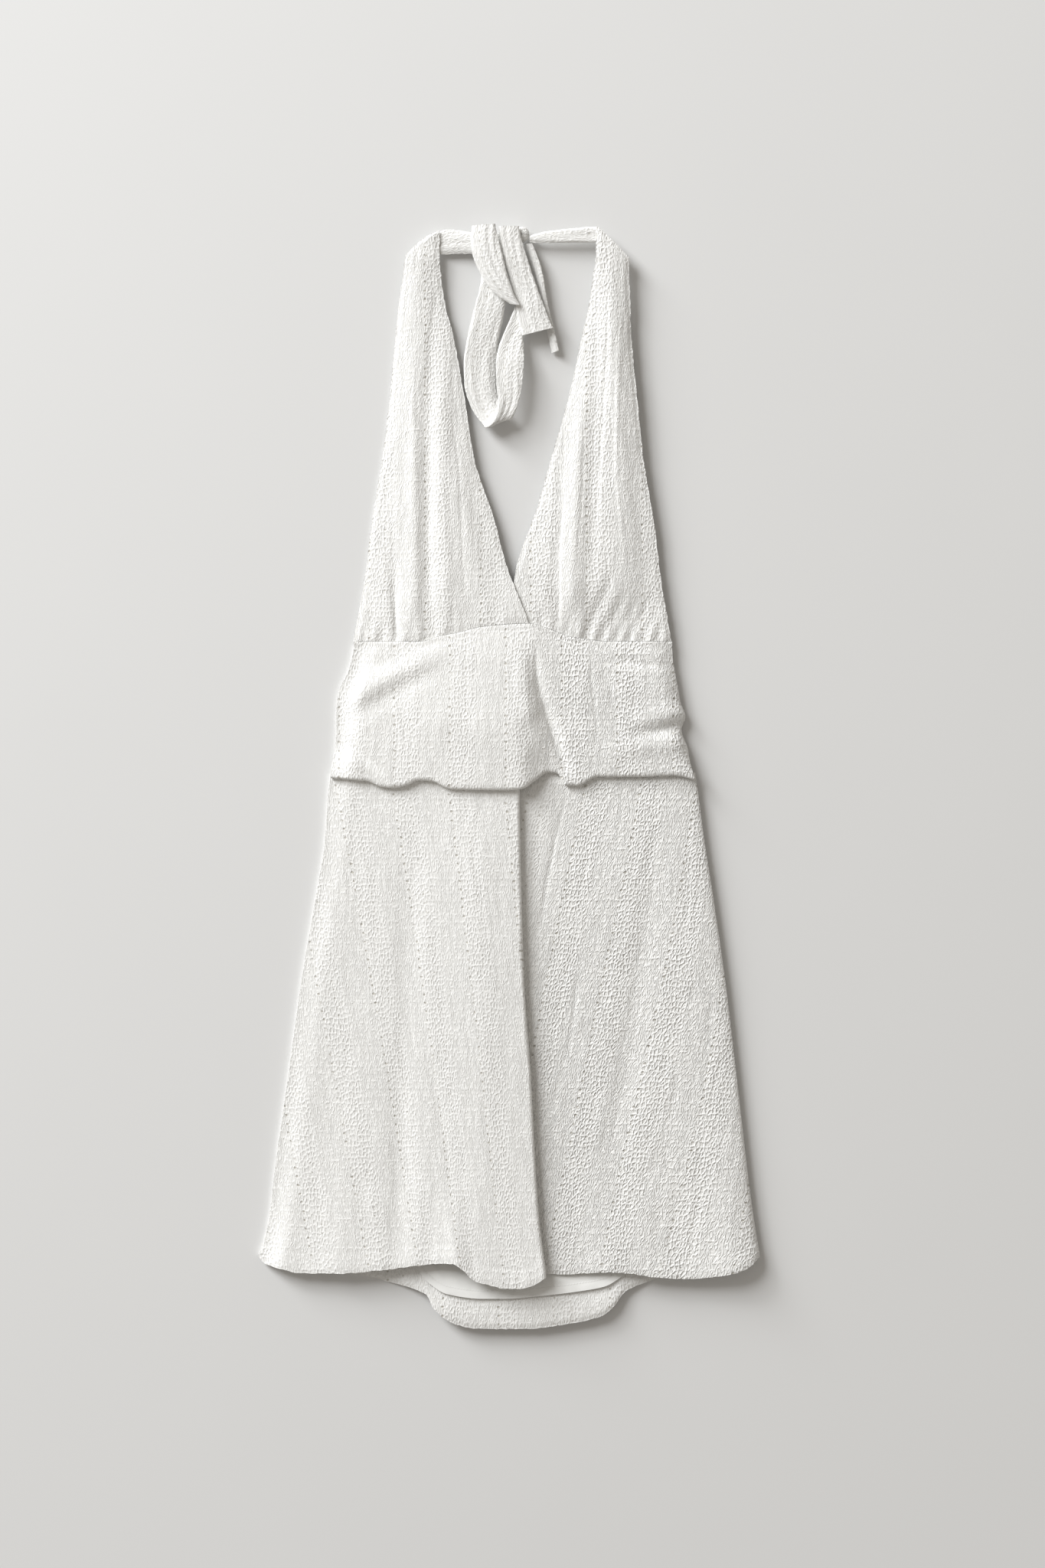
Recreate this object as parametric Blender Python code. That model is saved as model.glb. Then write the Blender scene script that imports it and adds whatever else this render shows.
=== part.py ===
"""A halter dress in crinkled eyelet cotton, laid flat on its back.

Lengths are in millimetres up to the point where a mesh is made. +X is to the right, +Y runs
up the dress towards the neck, and +Z is up from the surface that the dress lies on. The
origin is at the middle of the dress's length and width, on that surface.
"""
from collections import namedtuple

import bmesh
import bpy
import numpy as np

# Driving dimensions
MM = 0.001
CLOTH = 1.8
CUP_CLOTH = 2.4
TIE_CLOTH = 2.6
LINING_CLOTH = 1.0
SEAM_GAP = 0.3
LINING_GAP = 0.4
LINING_INSET = 12.0
LINING_RISE = 1.15
WAIST_Y = 3.0
BACK_NECK_Y = 118.0
LEFT_ROUND = 22.0
RIGHT_ROUND = 16.0
SIDE_Z = CLOTH + SEAM_GAP + CLOTH / 2
SIDE_CURL = 4.0
SIDE_CURL_REACH = 30.0
SIDE_CURL_STEPS = 8
ROLL_RADIUS = 1.6
ROLL_RADIUS_AT_SIDE = 1.2
ROLL_TURN = np.radians(172)
ROLL_RETURN = 3.0
ROLL_REACH = 17.0
PLEAT_RADIUS = 2.0
PLEAT_TURN = np.radians(172)
PLEAT_FADE = 30.0
CUP_LAP = 1.9
CUP_LAP_LEFT = -30.0
CUP_LAP_RIGHT = 42.0
CUP_LAP_TOP = 190.0
CUP_LAP_FADE = 24.0
CUP_EDGE_SHARE = 0.08
CUP_GATHER_Y = 285.0
CUP_SEAM_EASE_Y = 172.0
BAND_TOP_Y = 121.0
BAND_LOW_Y = -4.0
BAND_SIDE_EASE = 0.75
BAND_SEAM_SHARE = 0.08
BAND_ROLL_SHARE = 0.15
SKIRT_LEFT_Z = 5.5
SKIRT_RIGHT_Z = 9.5
SKIRT_SIDE_FADE = 20.0
SKIRT_FOLD_FADE = 12.0
HEM_POWER = 6
BACK_HEM_POWER = 5
HEM_CROWDING = 2.2
MIDDLE_CROWDING = 0.55
HEM_LIFT = 8.5
HEM_LIFT_LEFT = -125.0
HEM_LIFT_RIGHT = 150.0
HEM_LIFT_FADE = 65.0
HEM_LIFT_TOP = -405.0
HEM_LIFT_LENGTH = 80.0
SHARP_EDGE = np.radians(50)
OFF_WHITE = (0.80, 0.79, 0.75)
LINING_WHITE = (0.86, 0.86, 0.84)
MATT = 0.9
SMOOTH = 0.8

# What a row of each table holds
CupRow = namedtuple("CupRow", "y left right left_z right_z crown")
SeamPoint = namedtuple("SeamPoint", "x y z")
EdgePoint = namedtuple("EdgePoint", "x y")
BandRow = namedtuple("BandRow", "y left right puff")
SkirtRow = namedtuple("SkirtRow", "y left right fold_x overlap fold_z lift")
Fold = namedtuple("Fold", "width points")
FoldPoint = namedtuple("FoldPoint", "x y height")
Station = namedtuple("Station", "x1 y1 z1 x2 y2 z2")

CUP_LEFT = (
    CupRow(490, -64, -62.4, 8, 8, 0),
    CupRow(488, -67, -62.4, 8, 8, 0),
    CupRow(484, -75, -62.4, 8, 8, 0.3),
    CupRow(475, -86, -62.4, 7.5, 8, 0.5),
    CupRow(467, -93, -62.4, 7, 8, 1),
    CupRow(451, -95, -61, 5.5, 7, 1.5),
    CupRow(423, -99, -57, 4, 6, 2.5),
    CupRow(396, -102, -50, 3, 6, 3),
    CupRow(341, -107, -40, 2.2, 6.5, 3.5),
    CupRow(285, -114, -31, 1.8, 7, 4),
    CupRow(230, -123, -14, 1.6, 7.5, 4.5),
    CupRow(175, -130, -1, 1.8, 8.5, 4.5),
    CupRow(121, -140, 18, 3.2, 10, 3.5),
)

CUP_RIGHT = (
    CupRow(492, 79, 81, 12, 12, 0),
    CupRow(488, 79, 85, 12, 12, 0),
    CupRow(480, 78.7, 93.5, 12, 12, 0.3),
    CupRow(472, 78.5, 101, 12, 12, 0.6),
    CupRow(463, 78, 108, 11.5, 11.5, 1),
    CupRow(451, 76, 108, 10.5, 11, 2),
    CupRow(423, 72, 109, 8.5, 10.5, 3),
    CupRow(396, 66, 110, 7, 10, 4),
    CupRow(341, 54, 115, 5, 10, 4),
    CupRow(285, 38, 121, 5, 9.5, 4.5),
    CupRow(230, 23, 130, 6, 9, 5),
    CupRow(175, 7, 137, 8, 8.5, 5),
    CupRow(121, -1, 146, 10, 7.2, 4),
)

CUP_SEAM = (
    SeamPoint(-140, 121, 3.2),
    SeamPoint(-125, 121, 4.8),
    SeamPoint(-79, 121, 8),
    SeamPoint(-65, 125, 8.5),
    SeamPoint(-45, 129, 9),
    SeamPoint(-24, 134, 9.5),
    SeamPoint(-3, 136, 10),
    SeamPoint(18, 137, 10),
    SeamPoint(42, 130, 9),
    SeamPoint(56, 125, 9),
    SeamPoint(69, 123, 9),
    SeamPoint(87, 121, 8.5),
    SeamPoint(132, 121, 9),
    SeamPoint(147, 121, 7.2),
)

BAND = (
    BandRow(121, -139, 146.5, 0),
    BandRow(106, -141, 147, 2),
    BandRow(92, -145, 149, 3),
    BandRow(78, -151.5, 151.5, 3),
    BandRow(64, -154.5, 154, 2.5),
    BandRow(52, -155, 158, 2),
    BandRow(40, -155, 154.5, 1.5),
    BandRow(23, -156, 160, 1),
    BandRow(9, -158.5, 162.5, 0.5),
    BandRow(-12, -161, 168.5, 0),
)

ROLL_EDGE = (
    EdgePoint(-161, -1),
    EdgePoint(-127, -4),
    EdgePoint(-114, -9),
    EdgePoint(-103, -10),
    EdgePoint(-93, -8),
    EdgePoint(-79, -3),
    EdgePoint(-69, -4),
    EdgePoint(-51, -11),
    EdgePoint(-3, -12),
    EdgePoint(11, -11),
    EdgePoint(24, -3),
    EdgePoint(35, 4),
    EdgePoint(44, 3),
    EdgePoint(52, -8),
    EdgePoint(61, -8),
    EdgePoint(80, 0),
    EdgePoint(120, 0),
    EdgePoint(149, 1),
    EdgePoint(168, -3),
)

SKIRT = (
    SkirtRow(3, -160, 167, 9, 4, 4.3, 0),
    SkirtRow(-18, -162.5, 170, 9, 4.5, 4.4, 0),
    SkirtRow(-60, -165.5, 175.5, 9.5, 6, 4.6, 0),
    SkirtRow(-101, -172, 182, 10.5, 8, 4.8, 0),
    SkirtRow(-184, -186.5, 194, 13, 12, 5, 0),
    SkirtRow(-267, -198, 204, 19, 15, 5.2, 0),
    SkirtRow(-349, -210, 213.5, 23.5, 18, 5.5, 1),
    SkirtRow(-391, -215, 219, 27, 20, 5.8, 2.5),
    SkirtRow(-418, -220.5, 223, 31, 21, 6, 4),
    SkirtRow(-432, -225, 225, 33, 22, 6.2, 5),
)

FRONT_HEM_LEFT = (
    EdgePoint(-225, -432),
    EdgePoint(-220, -438),
    EdgePoint(-202, -443),
    EdgePoint(-190, -446),
    EdgePoint(-155, -446),
    EdgePoint(-114, -443),
    EdgePoint(-69, -437),
    EdgePoint(-51, -436),
    EdgePoint(-42, -441),
    EdgePoint(-31, -451),
    EdgePoint(-17, -455),
    EdgePoint(-3, -458),
    EdgePoint(11, -458),
    EdgePoint(24, -454),
    EdgePoint(33, -448),
)

FRONT_HEM_RIGHT = (
    EdgePoint(10, -446),
    EdgePoint(52, -447),
    EdgePoint(87, -445),
    EdgePoint(107, -446),
    EdgePoint(135, -450),
    EdgePoint(162, -451),
    EdgePoint(183, -449),
    EdgePoint(197, -447),
    EdgePoint(214, -441),
    EdgePoint(225, -432),
)

BACK_HEM = (
    EdgePoint(-225, -431),
    EdgePoint(-200, -437),
    EdgePoint(-155, -446.5),
    EdgePoint(-134, -449),
    EdgePoint(-114, -454),
    EdgePoint(-86, -461),
    EdgePoint(-73, -467),
    EdgePoint(-69, -476),
    EdgePoint(-58, -487),
    EdgePoint(-45, -493),
    EdgePoint(-31, -496),
    EdgePoint(18, -496.5),
    EdgePoint(38, -494),
    EdgePoint(59, -491),
    EdgePoint(83, -485),
    EdgePoint(93, -478),
    EdgePoint(104, -464),
    EdgePoint(114, -459),
    EdgePoint(142, -450),
    EdgePoint(200, -437),
    EdgePoint(225, -431),
)

LINING_HEM = (
    EdgePoint(-215, -426),
    EdgePoint(-120, -434),
    EdgePoint(-100, -437),
    EdgePoint(-86, -441),
    EdgePoint(-72, -455),
    EdgePoint(-55, -465),
    EdgePoint(-24, -469),
    EdgePoint(-3, -469),
    EdgePoint(24, -467),
    EdgePoint(73, -461),
    EdgePoint(87, -458),
    EdgePoint(107, -447),
    EdgePoint(130, -440),
    EdgePoint(215, -426),
)

CUP_LEFT_FOLDS = (
    Fold(7, (FoldPoint(-64, 440, 0), FoldPoint(-67, 400, -1), FoldPoint(-72, 330, -1.8),
             FoldPoint(-73, 230, -2.2), FoldPoint(-72, 160, -2.2), FoldPoint(-72, 124, -2))),
    Fold(7, (FoldPoint(-58, 410, 0), FoldPoint(-59, 350, 0.8), FoldPoint(-60, 280, 1.2),
             FoldPoint(-58, 216, 1), FoldPoint(-56, 150, 0.5), FoldPoint(-55, 124, 0.3))),
    Fold(6, (FoldPoint(-88, 400, 0), FoldPoint(-86, 330, 0.9), FoldPoint(-85, 230, 1.1),
             FoldPoint(-86, 150, 1.2), FoldPoint(-87, 124, 1))),
    Fold(5, (FoldPoint(-104, 230, 0), FoldPoint(-103, 175, -1.8), FoldPoint(-101, 124, -3))),
    Fold(9, (FoldPoint(-80, 470, 0), FoldPoint(-85, 440, 0.7), FoldPoint(-90, 400, 0.9),
             FoldPoint(-96, 330, 0.8), FoldPoint(-100, 260, 0))),
    Fold(10, (FoldPoint(-52, 320, 0), FoldPoint(-45, 258, 1.5), FoldPoint(-32, 200, 1.2),
              FoldPoint(-22, 155, 0.4))),
    Fold(4, (FoldPoint(-134, 152, 0), FoldPoint(-122, 139, -1.2), FoldPoint(-112, 126, -1.4))),
    Fold(4, (FoldPoint(-52, 152, 0), FoldPoint(-51, 140, -0.8), FoldPoint(-50, 128, -1.5))),
)

CUP_RIGHT_FOLDS = (
    Fold(7, (FoldPoint(80, 440, 0), FoldPoint(80, 400, -1.2), FoldPoint(79, 330, -1.7),
             FoldPoint(76, 260, -1.6), FoldPoint(75, 200, -1.2), FoldPoint(72, 150, -0.8))),
    Fold(10, (FoldPoint(96, 450, 0), FoldPoint(98, 400, 1.4), FoldPoint(101, 330, 1.7),
              FoldPoint(104, 258, 1.7), FoldPoint(106, 190, 1), FoldPoint(106, 150, 0.4))),
    Fold(7, (FoldPoint(72, 380, 0), FoldPoint(64, 313, 1.4), FoldPoint(60, 230, 1.9),
             FoldPoint(58, 165, 1.6), FoldPoint(56, 135, 0.8))),
    Fold(5, (FoldPoint(52, 320, 0), FoldPoint(47, 260, -1), FoldPoint(43, 200, -1.5),
             FoldPoint(41, 135, -1.8))),
    Fold(4.5, (FoldPoint(58, 155, 0), FoldPoint(54, 141, -1.2), FoldPoint(51, 128, -2.4))),
    Fold(5, (FoldPoint(96, 190, 0), FoldPoint(84, 160, -1.4), FoldPoint(70, 126, -2.8))),
    Fold(4.5, (FoldPoint(108, 170, 0), FoldPoint(97, 148, -1.6), FoldPoint(84, 124, -2.8))),
    Fold(4.5, (FoldPoint(119, 166, 0), FoldPoint(109, 146, -1.6), FoldPoint(97, 124, -2.6))),
    Fold(4.5, (FoldPoint(130, 168, 0), FoldPoint(121, 147, -1.8), FoldPoint(109, 124, -2.8))),
    Fold(4.5, (FoldPoint(137, 160, 0), FoldPoint(131, 144, -1.5), FoldPoint(121, 124, -2.4))),
    Fold(4, (FoldPoint(142, 148, 0), FoldPoint(138, 138, -1), FoldPoint(132, 124, -1.8))),
)

BAND_FOLDS = (
    Fold(9, (FoldPoint(-150, 62, 0), FoldPoint(-138, 71, 1.5), FoldPoint(-116, 83, 2),
             FoldPoint(-86, 99, 1.6), FoldPoint(-58, 112, 0.6), FoldPoint(-40, 118, 0))),
    Fold(7, (FoldPoint(-149, 88, 0), FoldPoint(-130, 96, -0.9), FoldPoint(-105, 104, -0.8),
             FoldPoint(-86, 109, 0))),
    Fold(9, (FoldPoint(-152, 48, 0), FoldPoint(-138, 55, -0.9), FoldPoint(-116, 66, -1.1),
             FoldPoint(-93, 79, -0.9), FoldPoint(-65, 94, -0.5), FoldPoint(-42, 106, 0))),
    Fold(5, (FoldPoint(-156, 44, 0), FoldPoint(-148, 36, -2.2), FoldPoint(-138, 25, -3),
             FoldPoint(-127, 13, -2.4), FoldPoint(-117, 4, -1))),
    Fold(7, (FoldPoint(-157, 30, 0), FoldPoint(-148, 18, 1.4), FoldPoint(-136, 6, 1.2),
             FoldPoint(-128, 0, 0.4))),
    Fold(5.5, (FoldPoint(20, 122, 0), FoldPoint(22, 100, -2), FoldPoint(26, 78, -2.8),
               FoldPoint(33, 58, -3), FoldPoint(42, 34, -2.8), FoldPoint(50, 6, -1.8))),
    Fold(7, (FoldPoint(10, 110, 0), FoldPoint(13, 80, 1), FoldPoint(20, 50, 1.4),
             FoldPoint(32, 20, 1.2), FoldPoint(36, 8, 0.6))),
    Fold(5.5, (FoldPoint(108, 35, 0), FoldPoint(124, 39, -1.6), FoldPoint(138, 41.5, -2.6),
               FoldPoint(156, 45, -3))),
    Fold(8, (FoldPoint(96, 47, 0), FoldPoint(114, 50, 1), FoldPoint(137, 54, 1.6),
             FoldPoint(156, 57, 1.8))),
    Fold(8, (FoldPoint(84, 24, 0), FoldPoint(104, 25, 1.2), FoldPoint(134, 27, 1.6),
             FoldPoint(160, 30, 1.8))),
    Fold(5, (FoldPoint(88, 105, 0), FoldPoint(104, 103, -1.4), FoldPoint(122, 100, -1.5),
             FoldPoint(142, 98, -0.8))),
    Fold(22, (FoldPoint(-100, 54, 0), FoldPoint(-60, 50, 2), FoldPoint(-20, 40, 1.6),
              FoldPoint(12, 34, 0))),
)

SKIRT_FOLDS = (
    Fold(12, (FoldPoint(-86, -30, 0), FoldPoint(-88, -90, -0.9), FoldPoint(-97, -330, -1.8),
              FoldPoint(-100, -432, -2))),
    Fold(12, (FoldPoint(135, -30, 0), FoldPoint(125, -120, -1.3), FoldPoint(105, -270, -1.6),
              FoldPoint(93, -350, -0.8), FoldPoint(88, -400, 0))),
    Fold(20, (FoldPoint(-31, -30, 0), FoldPoint(-30, -90, 1), FoldPoint(-25, -350, 1),
              FoldPoint(-24, -430, 0.8))),
    Fold(10, (FoldPoint(-51, -360, 0), FoldPoint(-48, -410, 2), FoldPoint(-46, -438, 3))),
    Fold(9, (FoldPoint(-69, -370, 0), FoldPoint(-71, -415, -1), FoldPoint(-72, -438, -1.5))),
    Fold(16, (FoldPoint(80, -360, 0), FoldPoint(85, -420, 1), FoldPoint(87, -446, 1.5))),
    Fold(18, (FoldPoint(149, -320, 0), FoldPoint(153, -400, -1), FoldPoint(156, -450, -1.5))),
    Fold(12, (FoldPoint(194, -320, 0), FoldPoint(198, -400, 1.1), FoldPoint(200, -446, 1.5))),
    Fold(16, (FoldPoint(-134, -250, 0), FoldPoint(-146, -360, 0.9), FoldPoint(-155, -446, 1.5))),
)

NECK_STRAP_LEFT = (
    Station(-82.5, 469.5, 5.2, -68, 484.5, 5.2),
    Station(-62.4, 469, 5.2, -55.5, 491.5, 5.2),
    Station(-44.5, 469.5, 5.6, -41, 490, 5.6),
    Station(-27.5, 469.5, 6, -25, 487, 6),
    Station(-10, 471.5, 6, -10, 488, 6),
    Station(4.4, 480, 6, 4.4, 488, 6),
)

NECK_STRAP_RIGHT = (
    Station(19, 479.5, 7, 19, 485.5, 7),
    Station(28.5, 479, 8, 28.5, 488, 8),
    Station(41.5, 479, 8.8, 41.5, 490, 8.8),
    Station(62.5, 479, 9.2, 62.5, 492, 9.2),
    Station(78.5, 479, 9.2, 78.5, 493, 9.2),
    Station(95.5, 469, 9.2, 83, 490, 9.2),
)

BOW_LOOP = (
    Station(-23.8, 453.5, 9.1, -2, 449.5, 9.1),
    Station(-26, 438.5, 9, -2, 433, 8.8),
    Station(-32, 416.5, 8.5, -5, 411, 7.5),
    Station(-37.6, 392.5, 8, -9.5, 389, 6),
    Station(-40.4, 369.5, 7.5, -11.5, 368, 5),
    Station(-39.7, 351, 7.5, -12, 353, 5),
    Station(-35.5, 335.5, 7.5, -10, 340.5, 5),
    Station(-29.3, 323.5, 8, -6, 331, 6),
    Station(-23, 315.5, 9.5, -1, 323.5, 8.5),
    Station(-21, 313, 11.5, 2.4, 321, 11.5),
    Station(-17, 315, 13.5, 6, 326, 14),
    Station(-11.5, 325.5, 14.5, 9.3, 336.5, 15),
    Station(-10, 339, 15, 11.4, 347.5, 15),
    Station(-11.4, 354.5, 15, 12.8, 360, 14.5),
    Station(-11.4, 369.5, 14.5, 13.5, 372, 13.5),
    Station(-9.3, 383.5, 12.5, 13.5, 384.5, 10),
    Station(-4.5, 397, 10, 12.8, 397, 8.2),
    Station(2.4, 413, 8.6, 13.5, 411, 8.2),
    Station(6.6, 423.5, 8.6, 14.8, 422, 8.6),
)

BAND_OVER = (
    Station(-33, 493, 13.5, -12, 494.5, 15.2),
    Station(-34, 480, 14.5, -9.5, 482.5, 15.3),
    Station(-32, 466, 15.2, -6, 469, 15.4),
    Station(-26.6, 452.5, 15.2, -2.4, 453.5, 15.5),
    Station(-19, 440, 15.2, 1.7, 440, 15.5),
    Station(-8.6, 429.5, 15.2, 6, 429, 15.5),
    Station(1.7, 422.5, 15.2, 10, 422, 15.5),
)

BAND_UNDER = (
    Station(-8.6, 493, 12.3, 9.3, 493, 12.3),
    Station(-8, 481.5, 12.3, 11.4, 481.5, 12.3),
    Station(-4.5, 464.5, 12.2, 17, 463.5, 12.2),
    Station(-0.3, 449.5, 12, 22.4, 447, 12),
    Station(3.8, 435.5, 12, 27.3, 433.5, 12),
    Station(6, 423.5, 12, 31.4, 422, 12.4),
    Station(8.6, 409.5, 12, 35.5, 411.5, 12),
    Station(12, 395, 12, 39.7, 402, 11.8),
)

BAND_BEHIND = (
    Station(14, 478.2, 4.5, 21, 478.6, 7),
    Station(19, 464.5, 4, 26.6, 464.5, 8),
    Station(23.8, 447.5, 4, 30.7, 449.5, 8.2),
    Station(28.6, 427, 4, 34.2, 428, 8.2),
    Station(33.5, 406, 3.5, 39, 407, 8),
    Station(39, 380.5, 3, 45.2, 382.5, 7),
)

KNOT_CENTRE = (11.7, 486.5, 6.5)
KNOT_RADII = (6.9, 7.0, 4.2)


def clear_scene():
    """Remove what the scene starts with."""
    for thing in list(bpy.data.objects):
        bpy.data.objects.remove(thing, do_unlink=True)


def cloth_material(name, colour, roughness):
    """A plain matt cloth finish."""
    material = bpy.data.materials.new(name)
    material.use_nodes = True
    shader = material.node_tree.nodes["Principled BSDF"]
    shader.inputs["Base Color"].default_value = (*colour, 1.0)
    shader.inputs["Roughness"].default_value = roughness
    shader.inputs["Metallic"].default_value = 0.0
    return material


def ease(t):
    """A soft step from 0 to 1 as t goes from 0 to 1."""
    t = np.clip(t, 0.0, 1.0)
    return t * t * (3.0 - 2.0 * t)


def blend(a, b, t):
    """The value a share t of the way from a to b."""
    return a + (b - a) * t


def through(t, knots, values):
    """A smooth curve through the values at rising knots, with no overshoot."""
    knots = np.asarray(knots, float)
    values = np.asarray(values, float)
    step = np.diff(knots)
    slope = np.diff(values) / step
    tangent = np.zeros_like(values)
    tangent[0], tangent[-1] = slope[0], slope[-1]
    product = slope[:-1] * slope[1:]
    total = slope[:-1] + slope[1:]
    same_sign = product > 0
    tangent[1:-1][same_sign] = 2.0 * product[same_sign] / total[same_sign]
    t = np.clip(t, knots[0], knots[-1])
    i = np.clip(np.searchsorted(knots, t, side="right") - 1, 0, len(step) - 1)
    f = (t - knots[i]) / step[i]
    rise = values[i + 1] - values[i]
    start = tangent[i] * step[i]
    end = tangent[i + 1] * step[i]
    return values[i] + f * (start + f * (3 * rise - 2 * start - end + f * (start + end - 2 * rise)))


def column(table, name):
    """One named column of a table."""
    return np.array([getattr(row, name) for row in table], float)


def at_y(y, table, name):
    """A table's column at height y up the dress, for a table that runs downwards."""
    return through(-np.asarray(y, float), -column(table, "y"), column(table, name))


def at_x(x, table, name):
    """A table's column at x across the dress."""
    return through(x, column(table, "x"), column(table, name))


def folds(x, y, table):
    """Height that a table of soft ridges and troughs adds at each point."""
    total = np.zeros(np.broadcast(x, y).shape)
    for fold in table:
        nearest = np.full(total.shape, np.inf)
        height = np.zeros(total.shape)
        for start, end in zip(fold.points, fold.points[1:]):
            run_x = end.x - start.x
            run_y = end.y - start.y
            along = ((x - start.x) * run_x + (y - start.y) * run_y) / (run_x**2 + run_y**2)
            along = np.clip(along, 0.0, 1.0)
            distance = np.hypot(x - start.x - along * run_x, y - start.y - along * run_y)
            closer = distance < nearest
            nearest = np.where(closer, distance, nearest)
            height = np.where(closer, blend(start.height, end.height, along), height)
        total += height * np.exp(-((nearest / fold.width) ** 2))
    return total


def side_rise(distance):
    """Share of the full height at a distance in from the left side, which lies low and soft."""
    return ease(distance / LEFT_ROUND)


def side_round(distance):
    """Share of the full height at a distance in from the right side, which stands up rounded."""
    inward = np.clip(distance / RIGHT_ROUND, 0.0, 1.0)
    return np.sqrt(1.0 - (1.0 - inward) ** 2)


def side_curl(distance):
    """How far the back stands up at a distance in from the right side."""
    return SIDE_CURL * ease(1.0 - distance / SIDE_CURL_REACH)


def back_columns(left, side, right, shares):
    """Places across a back panel: its shares up to the curl at the side, then even steps to its right."""
    curl_start = side - SIDE_CURL_REACH
    steps = np.linspace(0.0, 1.0, SIDE_CURL_STEPS + 1)[None, 1:]
    return np.concatenate([blend(left, curl_start, shares), blend(curl_start, right, steps)], axis=1)


def unit(vectors):
    """The same vectors at length 1."""
    return vectors / np.linalg.norm(vectors, axis=-1, keepdims=True)


def wall(name, middle, thickness, material, upright_rows=()):
    """A closed cloth wall around a grid of middle points, rows down and columns to the right.

    The end of the wall stands upright at the rows that meet another piece at a seam.
    """
    along = np.gradient(middle, axis=0)
    across = np.gradient(middle, axis=1)
    normal = unit(np.cross(along, across))
    for row in upright_rows:
        normal[row, :, 1] = 0.0
        normal[row] = unit(normal[row])
    rows, columns = middle.shape[:2]
    mesh = bmesh.new()
    sides = []
    for offset in (thickness / 2, -thickness / 2):
        grid = (middle + normal * offset) * MM
        sides.append([[mesh.verts.new(point) for point in line] for line in grid])
    upper, lower = sides
    for i in range(rows - 1):
        for j in range(columns - 1):
            mesh.faces.new((upper[i][j], upper[i + 1][j], upper[i + 1][j + 1], upper[i][j + 1]))
            mesh.faces.new((lower[i][j], lower[i][j + 1], lower[i + 1][j + 1], lower[i + 1][j]))
    rim = [(0, j) for j in range(columns)]
    rim += [(i, columns - 1) for i in range(1, rows)]
    rim += [(rows - 1, j) for j in range(columns - 2, -1, -1)]
    rim += [(i, 0) for i in range(rows - 2, 0, -1)]
    for (i, j), (k, m) in zip(rim, rim[1:] + rim[:1]):
        mesh.faces.new((upper[i][j], upper[k][m], lower[k][m], lower[i][j]))
    return finish_object(name, mesh, material)


def finish_object(name, mesh, material):
    """Turn a bmesh into a named object with soft shading."""
    data = bpy.data.meshes.new(name)
    mesh.to_mesh(data)
    mesh.free()
    data.shade_smooth()
    data.set_sharp_from_angle(angle=SHARP_EDGE)
    data.materials.append(material)
    thing = bpy.data.objects.new(name, data)
    bpy.context.scene.collection.objects.link(thing)
    return thing


def grid_of(x, y, z):
    """Stack three arrays into one grid of points."""
    return np.stack(np.broadcast_arrays(x, y, z), axis=-1).astype(float)


def cup_points(table, fold_table, lap, rows_between=2, columns=23):
    """Middle points of a cup, gathered into its seam. lap is +1 on top at the V point, -1 below."""
    steps = (len(table) - 1) * rows_between
    position = np.linspace(0.0, len(table) - 1, steps + 1)
    y_row = np.interp(position, range(len(table)), column(table, "y"))[:, None]
    u = np.linspace(0.0, 1.0, columns)[None, :]
    x = blend(at_y(y_row, table, "left"), at_y(y_row, table, "right"), u)
    bottom = column(table, "y")[-1]
    seam_y = at_x(x, CUP_SEAM, "y") + SEAM_GAP / 2
    y = y_row + ease((CUP_GATHER_Y - y_row) / (CUP_GATHER_Y - bottom)) * (seam_y - bottom)
    z = blend(at_y(y_row, table, "left_z"), at_y(y_row, table, "right_z"), u)
    z = z + at_y(y_row, table, "crown") * np.sin(np.pi * u) ** 1.5
    to_seam = ease((CUP_SEAM_EASE_Y - y_row) / (CUP_SEAM_EASE_Y - bottom))
    z = blend(z, at_x(x, CUP_SEAM, "z"), to_seam)
    edge = ease(u / CUP_EDGE_SHARE) * ease((1.0 - u) / CUP_EDGE_SHARE)
    z = z + folds(x, y, fold_table) * edge * (1.0 - 0.5 * to_seam)
    window = ease((x - CUP_LAP_LEFT) / CUP_LAP_FADE) * ease((CUP_LAP_RIGHT - x) / CUP_LAP_FADE)
    window = window * ease((CUP_LAP_TOP - y) / CUP_LAP_FADE)
    return grid_of(x, y, z + lap * CUP_LAP * window)


def make_cup_left(material):
    """The cup on the left, whose inner corner lies on top at the V point."""
    points = cup_points(CUP_LEFT, CUP_LEFT_FOLDS, 1.0)
    return wall("cup_left", points, CUP_CLOTH, material, upright_rows=(-1,))


def make_cup_right(material):
    """The cup on the right, gathered more than the left one."""
    points = cup_points(CUP_RIGHT, CUP_RIGHT_FOLDS, -1.0, columns=27)
    return wall("cup_right", points, CUP_CLOTH, material, upright_rows=(-1,))


def pleat_drop(overlap):
    """Height that the knife fold takes up, from its upper layer to its lower one."""
    turns = 2 * PLEAT_RADIUS * (1 - np.cos(PLEAT_TURN))
    return turns + overlap * np.sin(PLEAT_TURN)


def skirt_left_height(x, y):
    """Middle height of the skirt front left of its knife fold."""
    left = at_y(y, SKIRT, "left")
    fold_x = at_y(y, SKIRT, "fold_x")
    top = at_y(y, SKIRT, "fold_z") + pleat_drop(at_y(y, SKIRT, "overlap"))
    share = (x - left) / (fold_x - left)
    window = ease((x - left) / SKIRT_SIDE_FADE) * ease((fold_x - x) / SKIRT_FOLD_FADE)
    height = blend(SKIRT_LEFT_Z, top, ease(share)) + at_y(y, SKIRT, "lift")
    height = height + folds(x, y, SKIRT_FOLDS) * window
    return blend(SIDE_Z, height, side_rise(x - left))


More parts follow.
